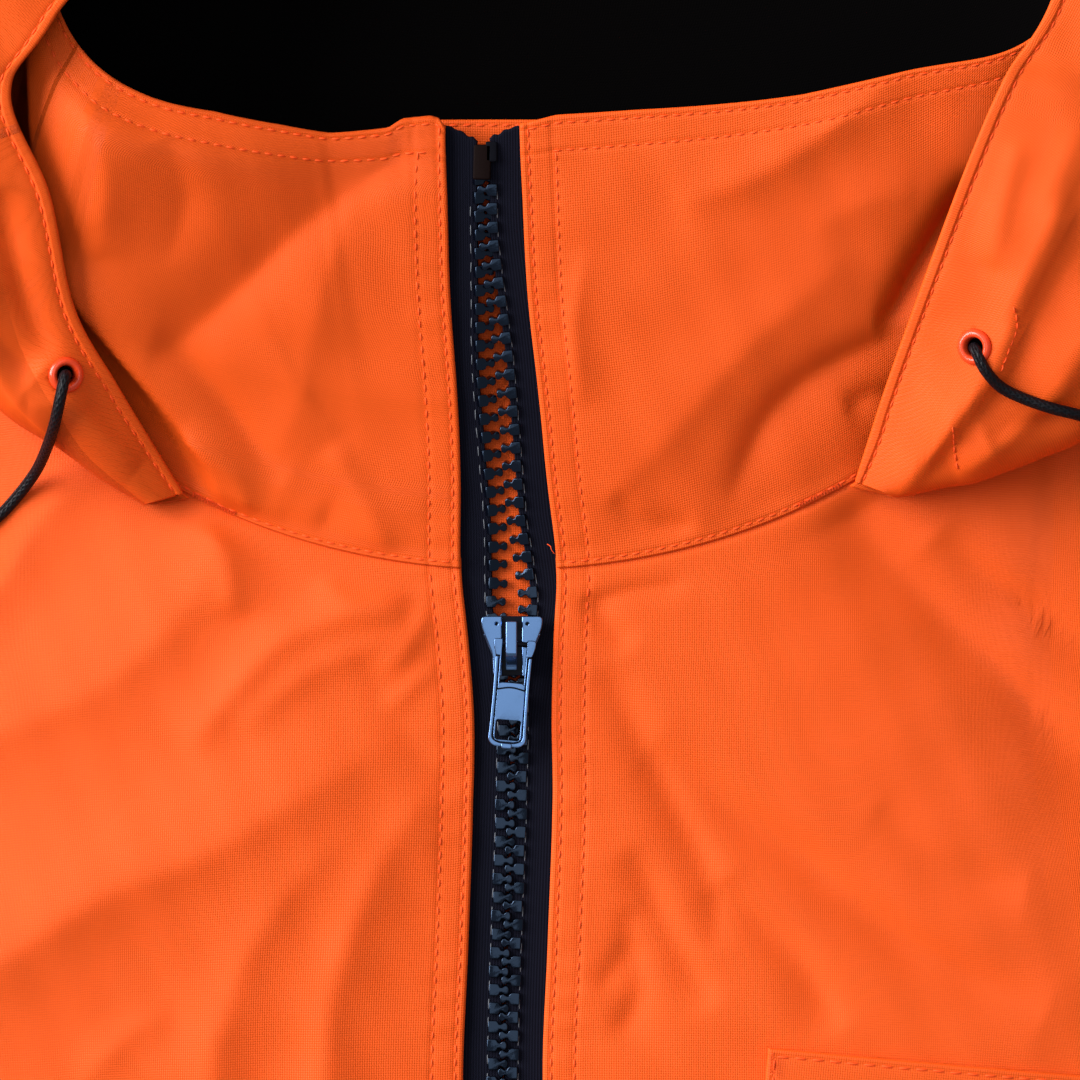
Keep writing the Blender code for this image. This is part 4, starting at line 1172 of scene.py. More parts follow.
def reflective(name, color, roughness):
    """Silver tape with its fine diamond embossing."""
    finish = Finish(name, color, roughness, metallic=0.35)
    u, v = finish.uv()
    turns = 2 * pi / (EMBOSS_PITCH * MM)
    one = finish.math("SINE", finish.product(finish.math("ADD", u, v), turns))
    two = finish.math("SINE", finish.product(finish.math("SUBTRACT", u, v), turns))
    ridge = finish.math("MAXIMUM", finish.math("ABSOLUTE", one), finish.math("ABSOLUTE", two))
    beads = finish.noise(5000.0, 1.0)
    height = finish.scaled_sum(beads, 0.3, ridge)
    # The hollows of the embossing are painted darker: painted shade.
    finish.set("Base Color", finish.shade(ridge, scaled(color, 0.72), color))
    finish.set("Normal", finish.bump(height, EMBOSS_DEPTH))
    return finish.material


ORANGE = (0.9, 0.106, 0.007)
NAVY_SHEEN = (0.4, 0.62, 1.0, 1.0)
BLACK = (0.0012, 0.0009, 0.001)
NAVY = (0.0055, 0.0058, 0.0125)
THREAD_ORANGE = (0.98, 0.095, 0.012)
FINISHES = {
    "shell": woven("orange_weave", ORANGE, 0.55, Specular_IOR_Level=0.2),
    "lining": woven("black_lining", BLACK, 0.9, 0.6, 0.05, Specular_IOR_Level=0.03),
    "thread": woven("orange_thread", THREAD_ORANGE, 0.6, 0.2, 0.02, 0.2, Specular_IOR_Level=0.25),
    "tape": knitted("navy_tape", NAVY, 0.85, 0.62, 0.1, Specular_IOR_Level=0.06),
    "tape_thread": moulded("grey_thread", (0.16, 0.17, 0.2), 0.4),
    "teeth": moulded("navy_plastic", (0.001, 0.0014, 0.004), 0.16, IOR=1.62, Specular_Tint=NAVY_SHEEN),
    "stop_right": moulded("brown_moulding", (0.006, 0.0022, 0.002), 0.6, 0.03, Specular_IOR_Level=0.05),
    "stop_left": moulded("dark_moulding", (0.003, 0.0032, 0.006), 0.6, 0.03, Specular_IOR_Level=0.05),
    "enamel": moulded("navy_enamel", (0.12, 0.225, 0.44), 0.16, 0.006, metallic=0.92),
    # The slider's and pull tab's inner parts: the same enamel coloured near black, painted shade for where
    # they lie in shadow.
    "painted_shade_enamel": moulded("enamel_in_painted_shade", (0.002, 0.003, 0.008), 0.4, 0.01, Specular_IOR_Level=0.1),
    "eyelet": moulded("orange_red_plastic", (0.85, 0.06, 0.012), 0.22, 0.01),
    "cord": braided("black_braid", (0.0035, 0.0035, 0.006), 0.5),
    "reflective": reflective("silver_tape", (0.6, 0.61, 0.62), 0.38),
}


# Pitch of a row of stitches and the share of it that shows.
TOP_STITCH = (2.9, 0.72)
COLLAR_STITCH = (2.7, 0.72)
HEM_STITCH = (3.2, 0.75)
POCKET_STITCH = (3.6, 0.75)
CHANNEL_STITCH = (1.9, 0.85)
TAPE_STITCH = (TEETH_PITCH, 0.62)
POCKET_THREAD = 0.5
TAPE_THREAD = 0.2


def finish_piece(piece, replaced=(), body="jacket"):
    """Puts a finished piece on its body, and hides the CAD nodes that it stands for."""
    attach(piece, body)
    if replaced:
        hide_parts(*replaced)
    return piece


# --- Cords, which come first ---


KNOT_SIZE = 2.3
KNOT_AHEAD = 2.9
KNOT_HEIGHT = 1.4


def knot_path(end, ahead):
    """The overhand knot at a cord's end: a trefoil pulled tight, across the cord's direction."""
    turn = np.linspace(0, 2 * pi, 61)[:-6]
    x = np.sin(turn) + 2 * np.sin(2 * turn)
    y = np.cos(turn) - 2 * np.cos(2 * turn)
    z = -np.sin(3 * turn)
    ahead = unit(ahead)
    across = unit(np.cross(ahead, (0.0, 0.0, 1.0)))
    up = np.cross(across, ahead)
    scale = KNOT_SIZE / 3
    return end + wide(x) * across * scale + wide(y) * ahead * scale + wide(z) * up * scale * KNOT_HEIGHT


def drawcords():
    for name, route in CORD_ROUTES.items():
        path = curve_through(route)
        radius = CORD_DIAMETER / 2
        cord = tube(f"drawcord_{name}_braid", path, radius, FINISHES["cord"], 16)
        finish_piece(cord, [f"drawcord_{name}"])
        ahead = path[-1] - path[-2]
        tied = knot_path(path[-1] + unit(ahead) * KNOT_AHEAD, ahead)
        knot = tube(f"cord_knot_{name}_tied", tied, radius * 0.9, FINISHES["cord"], 12)
        finish_piece(knot, [f"cord_knot_{name}"])
        metres = (path + (0, NECK_Y, 0)) * MM
        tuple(metres[0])


# --- Cloth ---


def edge_roll(distance, thickness):
    """How far a folded edge rounds down towards what is under it."""
    t = np.clip(1 - distance / thickness, 0, 1)
    return -thickness * 0.6 * (1 - np.sqrt(np.clip(1 - t * t, 0, 1)))


def zip_distance(points, name):
    """Distance from the cloth's edge beside the zip."""
    edge = row_at(CLOTH_EDGES, np.clip(points[..., 1], HEM_Y, COLLAR_TOP_Y))[..., COLUMN[name]]
    return np.abs(points[..., 0] - edge)


ZIP_ROWS = (1.7, 6.6)
NECK_LINE = neck(np.linspace(-90, 90, 121))[:, :2]
ZIP_PUCKERS = 0.22


def puckers(points, distance):
    """Short ripples across the zip's rows of stitches, uneven along it."""
    y = points[..., 1]
    wave = np.sin(y * 0.9 + 1.3 * np.sin(y * 0.21)) * (0.6 + 0.4 * np.sin(y * 0.13 + 1))
    return ZIP_PUCKERS * wave * np.exp(-(((distance - 4.5) / 4.0) ** 2))


FRONT_LENGTH = 748.0
FAR = 99.0
CALM_WIDTH = 9.0
EDGE_ROLL = 0.9
SEAM_DENT = 0.35
TUCK_UNDER = 0.8
HEM_DEPTH = 20.0


def make_fronts():
    panels = {}
    across = spaced((2.6, 0.32), (5.6, 0.8), (7.6, 0.4), (12, 1.1), (130, 1.6), (300, 5.0)) / 300
    along = spaced((30, 3), (560, 5.5), (740, 1.7), (746, 0.9), (750.4, 0.35)) / FRONT_LENGTH
    for name, side in SIDES.items():
        face = FRONTS[name]

        def lift(points, u, v):
            distance = zip_distance(points, name)
            seam, _, _ = beside(points, NECK_LINE)
            on_seam = np.where(u < NECK_SHARE, seam, FAR)
            calm = np.clip(distance / CALM_WIDTH, 0.15, 1) * ramp(np.abs(1 - v) * FRONT_LENGTH / CALM_WIDTH)
            total = (folded(points, FRONT_FOLDS[name]) + uneven(points)) * calm
            total += puckers(points, distance)
            total += groove(distance, ZIP_ROWS[0]) + groove(distance, ZIP_ROWS[1])
            total += edge_roll(distance, EDGE_ROLL)
            # Past the neck seam the cloth tucks under the collar.
            total -= SEAM_DENT * np.exp(-(on_seam**2))
            return total - TUCK_UNDER * ramp((v - 1) * FRONT_LENGTH / 1.5)

        panel = Panel(face, across, along, lift, outward=side)
        piece = wall(f"front_{name}_cloth", panel, SHELL, FINISHES["shell"])
        finish_piece(piece, [f"front_{name}"])
        panels[name] = panel
        # The rows beside the zip, and the hem.
        v = np.linspace(0.004, 0.998, 700)
        edge_step = np.linalg.norm(face(0.01, v) - face(0.0, v), axis=-1) * 100
        rows = [(*panel.line(distance / edge_step, v), *TOP_STITCH) for distance in ZIP_ROWS]
        u = np.linspace(0.012, 0.99, 160)
        rows.append((*panel.line(u, HEM_DEPTH / FRONT_LENGTH), *HEM_STITCH))
        finish_piece(stitching(f"front_{name}_stitches", rows, FINISHES["thread"]))
    return panels


def make_back():
    across = np.linspace(-1, 1, 81)
    along = np.linspace(0, 1, 101)

    def lift(points, u, v):
        return -np.abs(folded(points, BACK_FOLDS)) * 0.6

    panel = Panel(back_face, across, along, lift)
    piece = wall("back_cloth", panel, SHELL, FINISHES["shell"])
    finish_piece(piece, ["back"])


SLEEVE_LENGTH = 415.0
CUFF_ROW = 22.0
BAND_GROW = 0.2
BAND_WALL = 0.6
BACK_BAND_WALL = 0.9
BAND_ROWS = (0.04, 0.96)


def make_sleeves():
    around = np.arange(96) / 96
    along = np.concatenate([np.linspace(0.0, 0.93, 90), np.linspace(0.94, 1.0, 14)])
    for name, side in SIDES.items():
        face = sleeve_face(side)

        def lift(points, u, v):
            mirrored = points * (side, 1, 1)
            upper = np.sin(2 * pi * u) > 0
            ends = ramp(v * 14) * ramp((1 - v) * 12)
            share = np.sin(pi * (0.5 - 0.5 * np.cos(2 * pi * u)))
            total = (folded(mirrored, SLEEVE_FOLDS) + uneven(points, 0.3)) * ends * share
            hem = groove((1 - v) * SLEEVE_LENGTH, CUFF_ROW)
            return np.where(upper, total + hem, -0.1 * np.abs(total))

        panel = Panel(face, around, along, lift, outward=side)
        piece = wall(f"sleeve_{name}_cloth", panel, SHELL, FINISHES["shell"], wrap=True)
        finish_piece(piece, [f"sleeve_{name}"])
        u = np.linspace(0.0, 0.9895, 140)
        rows = [(*panel.line(u, 1 - CUFF_ROW / SLEEVE_LENGTH), *HEM_STITCH)]
        for level, (start, end) in SLEEVE_BANDS.items():
            band = Panel(
                sleeve_face(side, BAND + BAND_GROW),
                around,
                np.linspace(start, end, 17),
                lambda points, u, v: lift(points, u, v) * 0.9,
                outward=side,
            )
            title = f"sleeve_band_{name}_{level}"
            made = wall(f"{title}_tape", band, BAND_WALL, FINISHES["reflective"], wrap=True)
            finish_piece(made, [title])
            for edge in BAND_ROWS:
                rows.append((*band.line(u, mix(start, end, edge)), *HEM_STITCH))
        finish_piece(stitching(f"sleeve_{name}_stitches", rows, FINISHES["thread"]))


COLLAR_ROWS = (1.5, 6.9)
COLLAR_SEAM_ROW = 1.2
COLLAR_FRONT = 80.0
ZIP_PART = 30.0
# The left of the collar dips under the hood past this line: y, x.
COLLAR_BRINK = [(45.0, -88.5), (61.0, -90.8), (87.0, -94.0), (108.0, -95.6)]
COLLAR_FALL = 15.0
COLLAR_UNEVEN = 0.12
SEAM_ROLL = 0.6
SEAM_RIDGE = 0.35


def collar_lift(points, u, v):
    """Folds, rows of stitches and rounded edges of the collar."""
    wrapped = (u + 180) % 360 - 180
    front = np.abs(wrapped) < COLLAR_FRONT
    zip_edge = np.where(wrapped > 0, zip_distance(points, "left"), zip_distance(points, "right"))
    distance = np.where(np.abs(wrapped) < ZIP_PART, zip_edge, FAR)
    from_top = (1 - v) * COLLAR_HEIGHT
    from_seam = v * COLLAR_HEIGHT
    calm = np.clip(distance / CALM_WIDTH, 0.1, 1) * ramp(from_seam / 5) * mix(0.35, 1, ramp(from_top / 12))
    y = points[..., 1]
    brink = np.interp(y, *np.transpose(COLLAR_BRINK))
    fall = np.where(front & (y > COLLAR_BRINK[0][0]), COLLAR_FALL * ramp((brink - points[..., 0]) / 7), 0)
    total = np.where(front, folded(points, COLLAR_FOLDS), 0) * calm + uneven(points, COLLAR_UNEVEN) * calm
    total += puckers(points, distance) * 0.7
    total += groove(from_top, COLLAR_ROWS[0]) + groove(from_top, COLLAR_ROWS[1])
    total += groove(from_seam, COLLAR_SEAM_ROW)
    total += groove(distance, ZIP_ROWS[0]) + groove(distance, ZIP_ROWS[1])
    total += edge_roll(from_seam, SEAM_ROLL) + edge_roll(from_top, EDGE_ROLL) + edge_roll(distance, EDGE_ROLL)
    return total - fall + SEAM_RIDGE * np.exp(-((from_seam / 3) ** 2))


def make_collar():
    near = spaced((1.4, 0.16), (3.0, 0.4), (3.8, 0.2), (8.0, 0.5), (75, 0.62), (175, 3.0))
    half = COLLAR_START + near
    around = np.concatenate([half, (360 - half)[::-1]])
    up = spaced((2.4, 0.3), (6, 1.2), (84, 1.7), (88.4, 0.45), (91, 0.8), (94, 0.28)) / COLLAR_HEIGHT
    panel = Panel(collar_face, around, up, collar_lift)
    piece = wall("collar_cloth", panel, THIN, FINISHES["shell"])
    finish_piece(piece, ["collar"])
    inner_up = np.linspace(0.016, 0.985, 40)
    lining = Panel(collar_face, around[20:-20:2], inner_up, collar_lift, sink=LINING_SINK)
    inside = wall("collar_lining_cloth", lining, LINING, FINISHES["lining"])
    finish_piece(inside, ["collar_lining"])
    rows = []
    sides = np.linspace(COLLAR_START + 0.9, 360 - COLLAR_START - 0.9, 900)
    rows.append((*panel.line(sides, 1 - COLLAR_ROWS[0] / COLLAR_HEIGHT), *COLLAR_STITCH))
    inset = np.linspace(COLLAR_START + 3.6, 360 - COLLAR_START - 3.6, 900)
    rows.append((*panel.line(inset, 1 - COLLAR_ROWS[1] / COLLAR_HEIGHT), *COLLAR_STITCH))
    rows.append((*panel.line(sides, COLLAR_SEAM_ROW / COLLAR_HEIGHT), *COLLAR_STITCH))
    v = np.linspace(0.012, 0.985, 200)
    inner_v = np.linspace(0.012, 1 - COLLAR_ROWS[1] / COLLAR_HEIGHT, 200)
    for start, way in ((COLLAR_START, 1), (360 - COLLAR_START, -1)):
        for distance, heights in zip(ZIP_ROWS, (v, inner_v)):
            step = np.linalg.norm(collar_face(start + way, heights) - collar_face(start, heights), axis=-1)
            rows.append((*panel.line(start + way * distance / step, heights), *COLLAR_STITCH))
    finish_piece(stitching("collar_stitches", rows, FINISHES["thread"]))
    return panel


RIM_WIDTH = 14.0
RIM_SHARE = 0.7
RIM_FOLD = 2.0
RIM_ROW = 2.6
RIM_RIDGE = 0.35
HOOD_SECTIONS = 30
EYELET_HOLE = 2.75
EYELET_LOWEST = 25.0


def hood_turn(row, v):
    """The share round the hood's section for v, whose last third is always the rim's width from the brim."""
    fine = 1 - np.linspace(0, 1, 140) ** 2
    tables = np.linspace(row[0, 0], row[-1, 0], HOOD_SECTIONS)
    sections = hood_face(*np.meshgrid(tables, fine, indexing="ij"))
    steps = np.linalg.norm(np.diff(sections, axis=1), axis=-1)
    turns = []
    for step in steps:
        run = np.concatenate([[0.0], np.cumsum(step)])
        rim = min(RIM_WIDTH, run[-1] * 0.4)
        inner = rim + (RIM_SHARE - v[0]) / RIM_SHARE * (run[-1] - rim)
        wanted = np.where(v[0] > RIM_SHARE, (1 - v[0]) / (1 - RIM_SHARE) * rim, inner)
        turns.append(np.interp(wanted, run, fine))
    return through(turns, np.interp(row[:, 0], tables, np.arange(len(tables))))


def hood_cloth(row, v):
    return hood_face(row, hood_turn(row, v))


def hood_lift(points, u, v):
    """Folds on the hood's upper layer, and the rim that is folded and stitched along its brim."""
    upper = ramp((v - 0.35) * 8)
    from_brim = (1 - v) / (1 - RIM_SHARE) * RIM_WIDTH
    calm = mix(0.25, 1, ramp(from_brim / CALM_WIDTH))
    total = folded(points, HOOD_FOLDS) * upper * calm + uneven(points, 0.2) * ramp(v * 5) * calm
    total += (groove(from_brim, RIM_ROW) + edge_roll(from_brim, EDGE_ROLL)) * upper
    total += RIM_RIDGE * (1 - ramp((from_brim - RIM_FOLD) / RIM_RIDGE)) * upper
    return total


def make_hood():
    brim = spaced((0.9, 0.3), (1.8, 0.5), (3.2, 0.2), (6, 0.8), (RIM_WIDTH, 1.3)) / RIM_WIDTH
    heights = np.concatenate([np.linspace(0, RIM_SHARE, 44)[:-1], (1 - brim * (1 - RIM_SHARE))[::-1]])
    spans = {
        "left": (0.0, HOOD_SIDE_ROWS - HOOD_SEAM_ROWS),
        "centre": (HOOD_SIDE_ROWS + HOOD_SEAM_ROWS, HOOD_LAST - HOOD_SIDE_ROWS - HOOD_SEAM_ROWS),
        "right": (HOOD_LAST - HOOD_SIDE_ROWS + HOOD_SEAM_ROWS, HOOD_LAST),
    }
    panels = {}
    for name, (first, end) in spans.items():
        # The sides' lines crowd together towards the front corners, which show closest.
        share = np.linspace(0, 1, 60) if name == "centre" else np.linspace(0, 1, 190) ** 1.5
        if name == "right":
            share = (1 - share)[::-1]
        rows = mix(first, end, share)
        panel = Panel(hood_cloth, rows, heights, hood_lift)
        hole = (EYELETS[name], EYELET_HOLE, EYELET_LOWEST) if name in EYELETS else None
        piece = wall(f"hood_{name}_cloth", panel, THIN, FINISHES["shell"], hole=hole)
        finish_piece(piece, [f"hood_{name}"])
        inner = Panel(hood_cloth, rows[12:-12:3], heights[2:-8:2], hood_lift, sink=LINING_SINK)
        inside = wall(f"hood_lining_{name}_cloth", inner, LINING, FINISHES["lining"])
        finish_piece(inside, [f"hood_lining_{name}"])
        line = [(*panel.line(rows, 1 - RIM_ROW / RIM_WIDTH * (1 - RIM_SHARE)), *TOP_STITCH)]
        finish_piece(stitching(f"hood_{name}_stitches", line, FINISHES["thread"]))
        panels[name] = panel
    return panels


def on_panel(panel, face, x, y, lift):
    """Points over (x, y) on a finished panel, lifted off it."""
    u, v = find(face, x, y, 0.3, 0.6)
    points, normals = panel.line(u, v)
    normals = normals * wide(np.sign(normals[..., 2]))
    return points + normals * wide(lift)


def make_pocket(panels):
    across = np.array([cos(POCKET_SLOPE), sin(POCKET_SLOPE)])
    down = np.array([across[1], -across[0]])

    def face(u, v):
        plan = POCKET_CORNER + wide(POCKET_WIDTH * u) * across + wide(POCKET_HEIGHT * (1 - v)) * down
        return on_panel(panels["left"], FRONTS["left"], plan[..., 0], plan[..., 1], POCKET_LIFT)

    def lift(points, u, v):
        across_edges = np.minimum(u, 1 - u) * POCKET_WIDTH
        edges = np.minimum(across_edges, np.minimum(v, 1 - v) * POCKET_HEIGHT)
        gape = 0.5 * ramp((v - 0.8) / 0.2) * np.sin(pi * u)
        return gape + groove(edges, POCKET_ROW) + edge_roll(edges, EDGE_ROLL)

    def lines(size):
        return spaced((2.4, 0.3), (6, 1.2), (size - 6, 3.0), (size - 2.4, 1.2), (size, 0.3)) / size

    panel = Panel(face, lines(POCKET_WIDTH), lines(POCKET_HEIGHT), lift)
    piece = wall("chest_pocket_cloth", panel, THIN, FINISHES["shell"])
    finish_piece(piece, ["chest_pocket"])
    u = POCKET_ROW / POCKET_WIDTH
    v = POCKET_ROW / POCKET_HEIGHT
    along = np.linspace(0, 1, 90)
    sides = [
        (mix(u, 1 - u, along), 1 - v),
        (u, mix(1 - v, v, along)),
        (mix(u, 1 - u, along), v),
        (1 - u, mix(v, 1 - v, along)),
    ]
    rows = [(*panel.line(*side), *POCKET_STITCH) for side in sides]
    finish_piece(stitching("chest_pocket_stitches", rows, FINISHES["thread"], POCKET_THREAD))


def make_bands(panels):
    for level, (low, high) in BODY_BANDS.items():

        def underside(u, v):
            return stack((HEM_X - 0.5) * u, mix(low, high, v), BAND)

        band = Panel(underside, np.linspace(-1, 1, 60), np.linspace(0, 1, 13))
        piece = wall(f"band_back_{level}_tape", band, BACK_BAND_WALL, FINISHES["reflective"])
        finish_piece(piece, [f"band_back_{level}"])
        for name, side in SIDES.items():

            def face(u, v):
                x = side * mix(BAND_END - 1, HEM_X - 1, u)
                return on_panel(panels[name], FRONTS[name], x, mix(low, high, v), BAND_LIFT)

            band = Panel(face, np.linspace(0, 1, 110), np.linspace(0, 1, 19), outward=side)
            piece = wall(f"band_front_{name}_{level}_tape", band, BAND_WALL, FINISHES["reflective"])
            finish_piece(piece, [f"band_front_{name}_{level}"])
            u = np.linspace(0.01, 0.99, 160)
            rows = [(*band.line(u, edge), *HEM_STITCH) for edge in BAND_ROWS]
            made = stitching(f"band_front_{name}_{level}_stitches", rows, FINISHES["thread"])
            finish_piece(made)


# --- Zip ---


GUARD_RIPPLE = 0.5
GUARD_RISE = 1.9
GUARD_ROW = 1.1
GUARD_BOTTOM_Y = HEM_Y + 4


def make_guard():
    """The guard, which rises between the open teeth."""

    def face(u, v):
        y = mix(GUARD_BOTTOM_Y, GUARD_TOP_Y, v)
        return stack(mix(-GUARD_HALF, GUARD_HALF, u), y, zip_z(y) - GUARD_DEPTH)

    def lift(points, u, v):
        y = points[..., 1]
        from_top = GUARD_TOP_Y - y
        total = GUARD_RIPPLE * np.sin(y * 0.11 + 0.8) * np.sin(pi * u)
        total += GUARD_RISE * ramp((y + 60) / 30) * ramp((70 - y) / 40) * np.sin(pi * u)
        return total + groove(from_top, GUARD_ROW) + edge_roll(from_top, EDGE_ROLL)

    height = GUARD_TOP_Y - GUARD_BOTTOM_Y
    v = 1 - spaced((2.4, 0.3), (120, 1.5), (height, 5))[::-1] / height
    panel = Panel(face, np.linspace(0, 1, 25), v, lift)
    piece = wall("zip_guard_cloth", panel, THIN, FINISHES["shell"])
    finish_piece(piece, ["zip_guard"])
    rows = [(*panel.line(np.linspace(0.05, 0.95, 40), 1 - GUARD_ROW / height), *COLLAR_STITCH)]
    finish_piece(stitching("zip_guard_stitches", rows, FINISHES["thread"]))


TAPE_TOP_Y = 91.3
TAPE_BOTTOM_Y = HEM_Y + 2
TAPE_SLANT = {"right": 3.2, "left": 2.6}
TAPE_FRAY = 0.35
TAPE_WALL = 0.7
TAPE_UNDER = 6.5
TAPE_RIPPLE = 0.12


def tape_top(name, share):
    """The cut end of a tape, as a ragged slant down towards the teeth."""
    ragged = TAPE_FRAY * np.sin(share * 19) * (1 - share)
    return TAPE_TOP_Y - TAPE_SLANT[name] * (1 - share) ** 1.5 + ragged


def teeth_x(y, name):
    """Where the teeth's line stands at a height up the zip."""
    return row_at(TEETH_LINES, np.clip(y, TEETH_BOTTOM_Y, TEETH_TOP_Y))[..., COLUMN[name]]


def make_tapes():
    for name, side in SIDES.items():

        def face(u, v):
            """The tape, with u 0 at the teeth's cord and 1 under the cloth."""
            share = np.clip(u / 0.55, 0, 1)
            y = mix(TAPE_BOTTOM_Y, tape_top(name, share), v)
            edge = row_at(CLOTH_EDGES, y)[..., COLUMN[name]]
            reach = mix(0.8, 2.1, ramp((-20 - y) / 15))
            x = mix(teeth_x(y, name) - side * reach, edge + side * TAPE_UNDER, u)
            return stack(x, y, zip_z(y) - TAPE_DEPTH)

        def lift(points, u, v):
            return TAPE_RIPPLE * np.sin(points[..., 1] * 0.35) * np.sin(pi * u)

        height = TAPE_TOP_Y - TAPE_BOTTOM_Y
        v = 1 - spaced((3, 0.4), (130, 1.0), (height, 4))[::-1] / height
        u = np.concatenate([np.linspace(0, 0.16, 10), np.linspace(0.2, 1, 18)])
        panel = Panel(face, u, v, lift, outward=side)
        piece = wall(f"zip_tape_{name}_knit", panel, TAPE_WALL, FINISHES["tape"])
        finish_piece(piece, [f"zip_tape_{name}"])
        y = mix(TAPE_BOTTOM_Y, TEETH_TOP_Y, np.linspace(0.01, 0.992, 800))
        path = stack(teeth_x(y, name) + side * 0.5, y, zip_z(y) - TAPE_DEPTH + 0.1)
        rows = [(path, np.tile(UP, (len(path), 1)), *TAPE_STITCH)]
        thread = stitching(f"zip_tape_{name}_thread", rows, FINISHES["tape_thread"], TAPE_THREAD)
        finish_piece(thread)


# One moulded tooth in plan, from the cord (x 0) to the tip of its head, for the upper half: x, half width.
TOOTH_PLAN = [
    (-0.55, 1.0),
    (-0.4, 1.25),
    (1.2, 1.25),
    (1.5, 1.0),
    (1.75, 0.52),
    (2.1, 0.45),
    (2.4, 0.62),
    (2.75, 0.88),
    (3.15, 0.9),
    (3.5, 0.62),
    (3.62, 0.25),
]
TOOTH_HEIGHT = 2.5
TEETH_DEPTH = 2.3
DISH_DEPTH = 0.22
OPEN_FROM_Y = -8.0
# How far the open teeth roll about their tape, in degrees. The left ones straighten up towards the top.
ROLL = {"left": 17.0, "right": 21.0}
ROLL_TOP_Y = 26.0
LOOSE_CLOSED = 9.0
LOOSE_OPEN = 2.5
RIGHT_SETTLE = 0.5


def tooth_shape():
    """A moulded tooth in its own place: x towards the other row, z up."""
    outline = TOOTH_PLAN + [(x, -y) for x, y in TOOTH_PLAN[::-1]]
    return plate_mesh([outline], -TOOTH_HEIGHT / 2, TOOTH_HEIGHT / 2, 0.22)


def make_teeth():
    shape = tooth_shape()
    base = np.array([vert.co for vert in shape.verts])
    shape.verts.index_update()
    base_faces = [[vert.index for vert in face.verts] for face in shape.faces]
    shape.free()
    # The tops are dished a little, with a raised lip round them.
    dish = np.exp(-((base[:, 1] / 0.8) ** 2)) * np.exp(-(((base[:, 0] - 0.45) / 0.7) ** 2)) * DISH_DEPTH
    base[:, 2] -= np.where(base[:, 2] > 0, dish, 0)
    for name, side in SIDES.items():
        y = np.linspace(TEETH_BOTTOM_Y, TEETH_TOP_Y - 3, 2400)
        settle = RIGHT_SETTLE if name == "right" else 0.0
        x = row_at(TEETH_LINES, y)[..., COLUMN[name]] + settle * ramp((y - OPEN_FROM_Y) / 6)
        path = stack(x, y, zip_z(y) - TEETH_DEPTH)
        where = spread_along(path, TEETH_PITCH, 0.25 if name == "left" else 0.75)
        centres = read_at(path, where)
        ahead = read_at(path, np.minimum(where + 4, len(path) - 1.001))
        behind = read_at(path, np.maximum(where - 4, 0))
        _, across, up = cross_frame(ahead - behind, np.tile(UP, (len(centres), 1)))
        vertices = []
        faces = []
        for k, centre in enumerate(centres):
            is_open = float(ramp((centre[1] - OPEN_FROM_Y) / 6))
            # Open teeth roll about their tape, and the engaged ones stand a little unevenly.
            below = float(ramp((ROLL_TOP_Y - centre[1]) / 6)) if name == "left" else 1.0
            loose = mix(LOOSE_CLOSED, LOOSE_OPEN, is_open) * sin(k * 2.1 + 1.3 * sin(k * 0.7))
            roll = radians(ROLL[name] * below * is_open + loose)
            inward = -side * across[k] if across[k][0] > 0 else side * across[k]
            start = len(vertices)
            toward = inward * cos(roll) - up[k] * sin(roll)
            lifted = up[k] * cos(roll) + inward * sin(roll)
            way = np.cross(lifted, toward)
            for vertex in base:
                vertices.append(centre + toward * vertex[0] + way * vertex[1] + lifted * vertex[2])
            faces += [[start + i for i in face] for face in base_faces]
        piece = mesh_object(f"zip_teeth_{name}_moulded", vertices, faces, FINISHES["teeth"], sharp=50)
        finish_piece(piece, [f"zip_teeth_{name}"])


# Outlines of the top stops, across from the last tooth's line: x, y.
TOP_STOPS = {
    "left": [(-1.9, 84.0), (0.5, 84.0), (0.5, 88.2), (-1.9, 88.2)],
    "right": [(0.1, 80.4), (3.7, 80.4), (3.9, 87.6), (0.3, 87.6)],
}
STOP_Y = 86.0
STOP_HALF = 1.3
BOX_HALF = 1.6


def block(half_width, low, high, radius):
    """The outline of an upright rounded block on the zip's middle line."""
    corners = [(-half_width, low), (half_width, low), (half_width, high), (-half_width, high)]
    return rounded(corners, radius)


def make_stops():
    z = float(zip_z(STOP_Y)) - TEETH_DEPTH
    for name, corners in TOP_STOPS.items():
        line = TEETH_LINES[-1][COLUMN[name]]
        outline = rounded([(line + x, y) for x, y in corners], 0.5)
        shapes = [plate_mesh([outline], z - STOP_HALF, z + STOP_HALF, 0.3)]
        stop = join_shapes(f"top_stop_{name}_moulded", shapes, FINISHES[f"stop_{name}"])
        finish_piece(stop, [f"top_stop_{name}"])
    z = float(zip_z(HEM_Y)) - TEETH_DEPTH
    outline = block(3.2, HEM_Y + 2, TEETH_BOTTOM_Y - 1, 0.8)
    slot = block(0.3, HEM_Y + 3.2, TEETH_BOTTOM_Y - 2, 0.2)
    shapes = [plate_mesh([outline, slot], z - BOX_HALF, z + BOX_HALF, 0.3)]
    box = join_shapes("zip_box_moulded", shapes, FINISHES["teeth"])
    finish_piece(box, ["zip_box"])


def stood_up(shape, x, y, z):
    """Turns a side view, drawn with y along the slider and height across, up onto the slider."""
    stand = Matrix(((0, 0, 1, x), (1, 0, 0, y), (0, 1, 0, z), (0, 0, 0, 1)))
    bmesh.ops.transform(shape, matrix=stand, verts=shape.verts)
    return shape


def mirrored(outline, side=-1):
    return [(side * x, y, *size) for x, y, *size in outline]


def both_sides(half):
    """A whole outline from its right half, drawn from the top down."""
    return half + mirrored(half[::-1])


def placed(outline):
    """An outline drawn from the slider's top middle, in its place on the zip."""
    return [(x + SLIDER_X, y + SLIDER_TOP_Y, *size) for x, y, *size in outline]


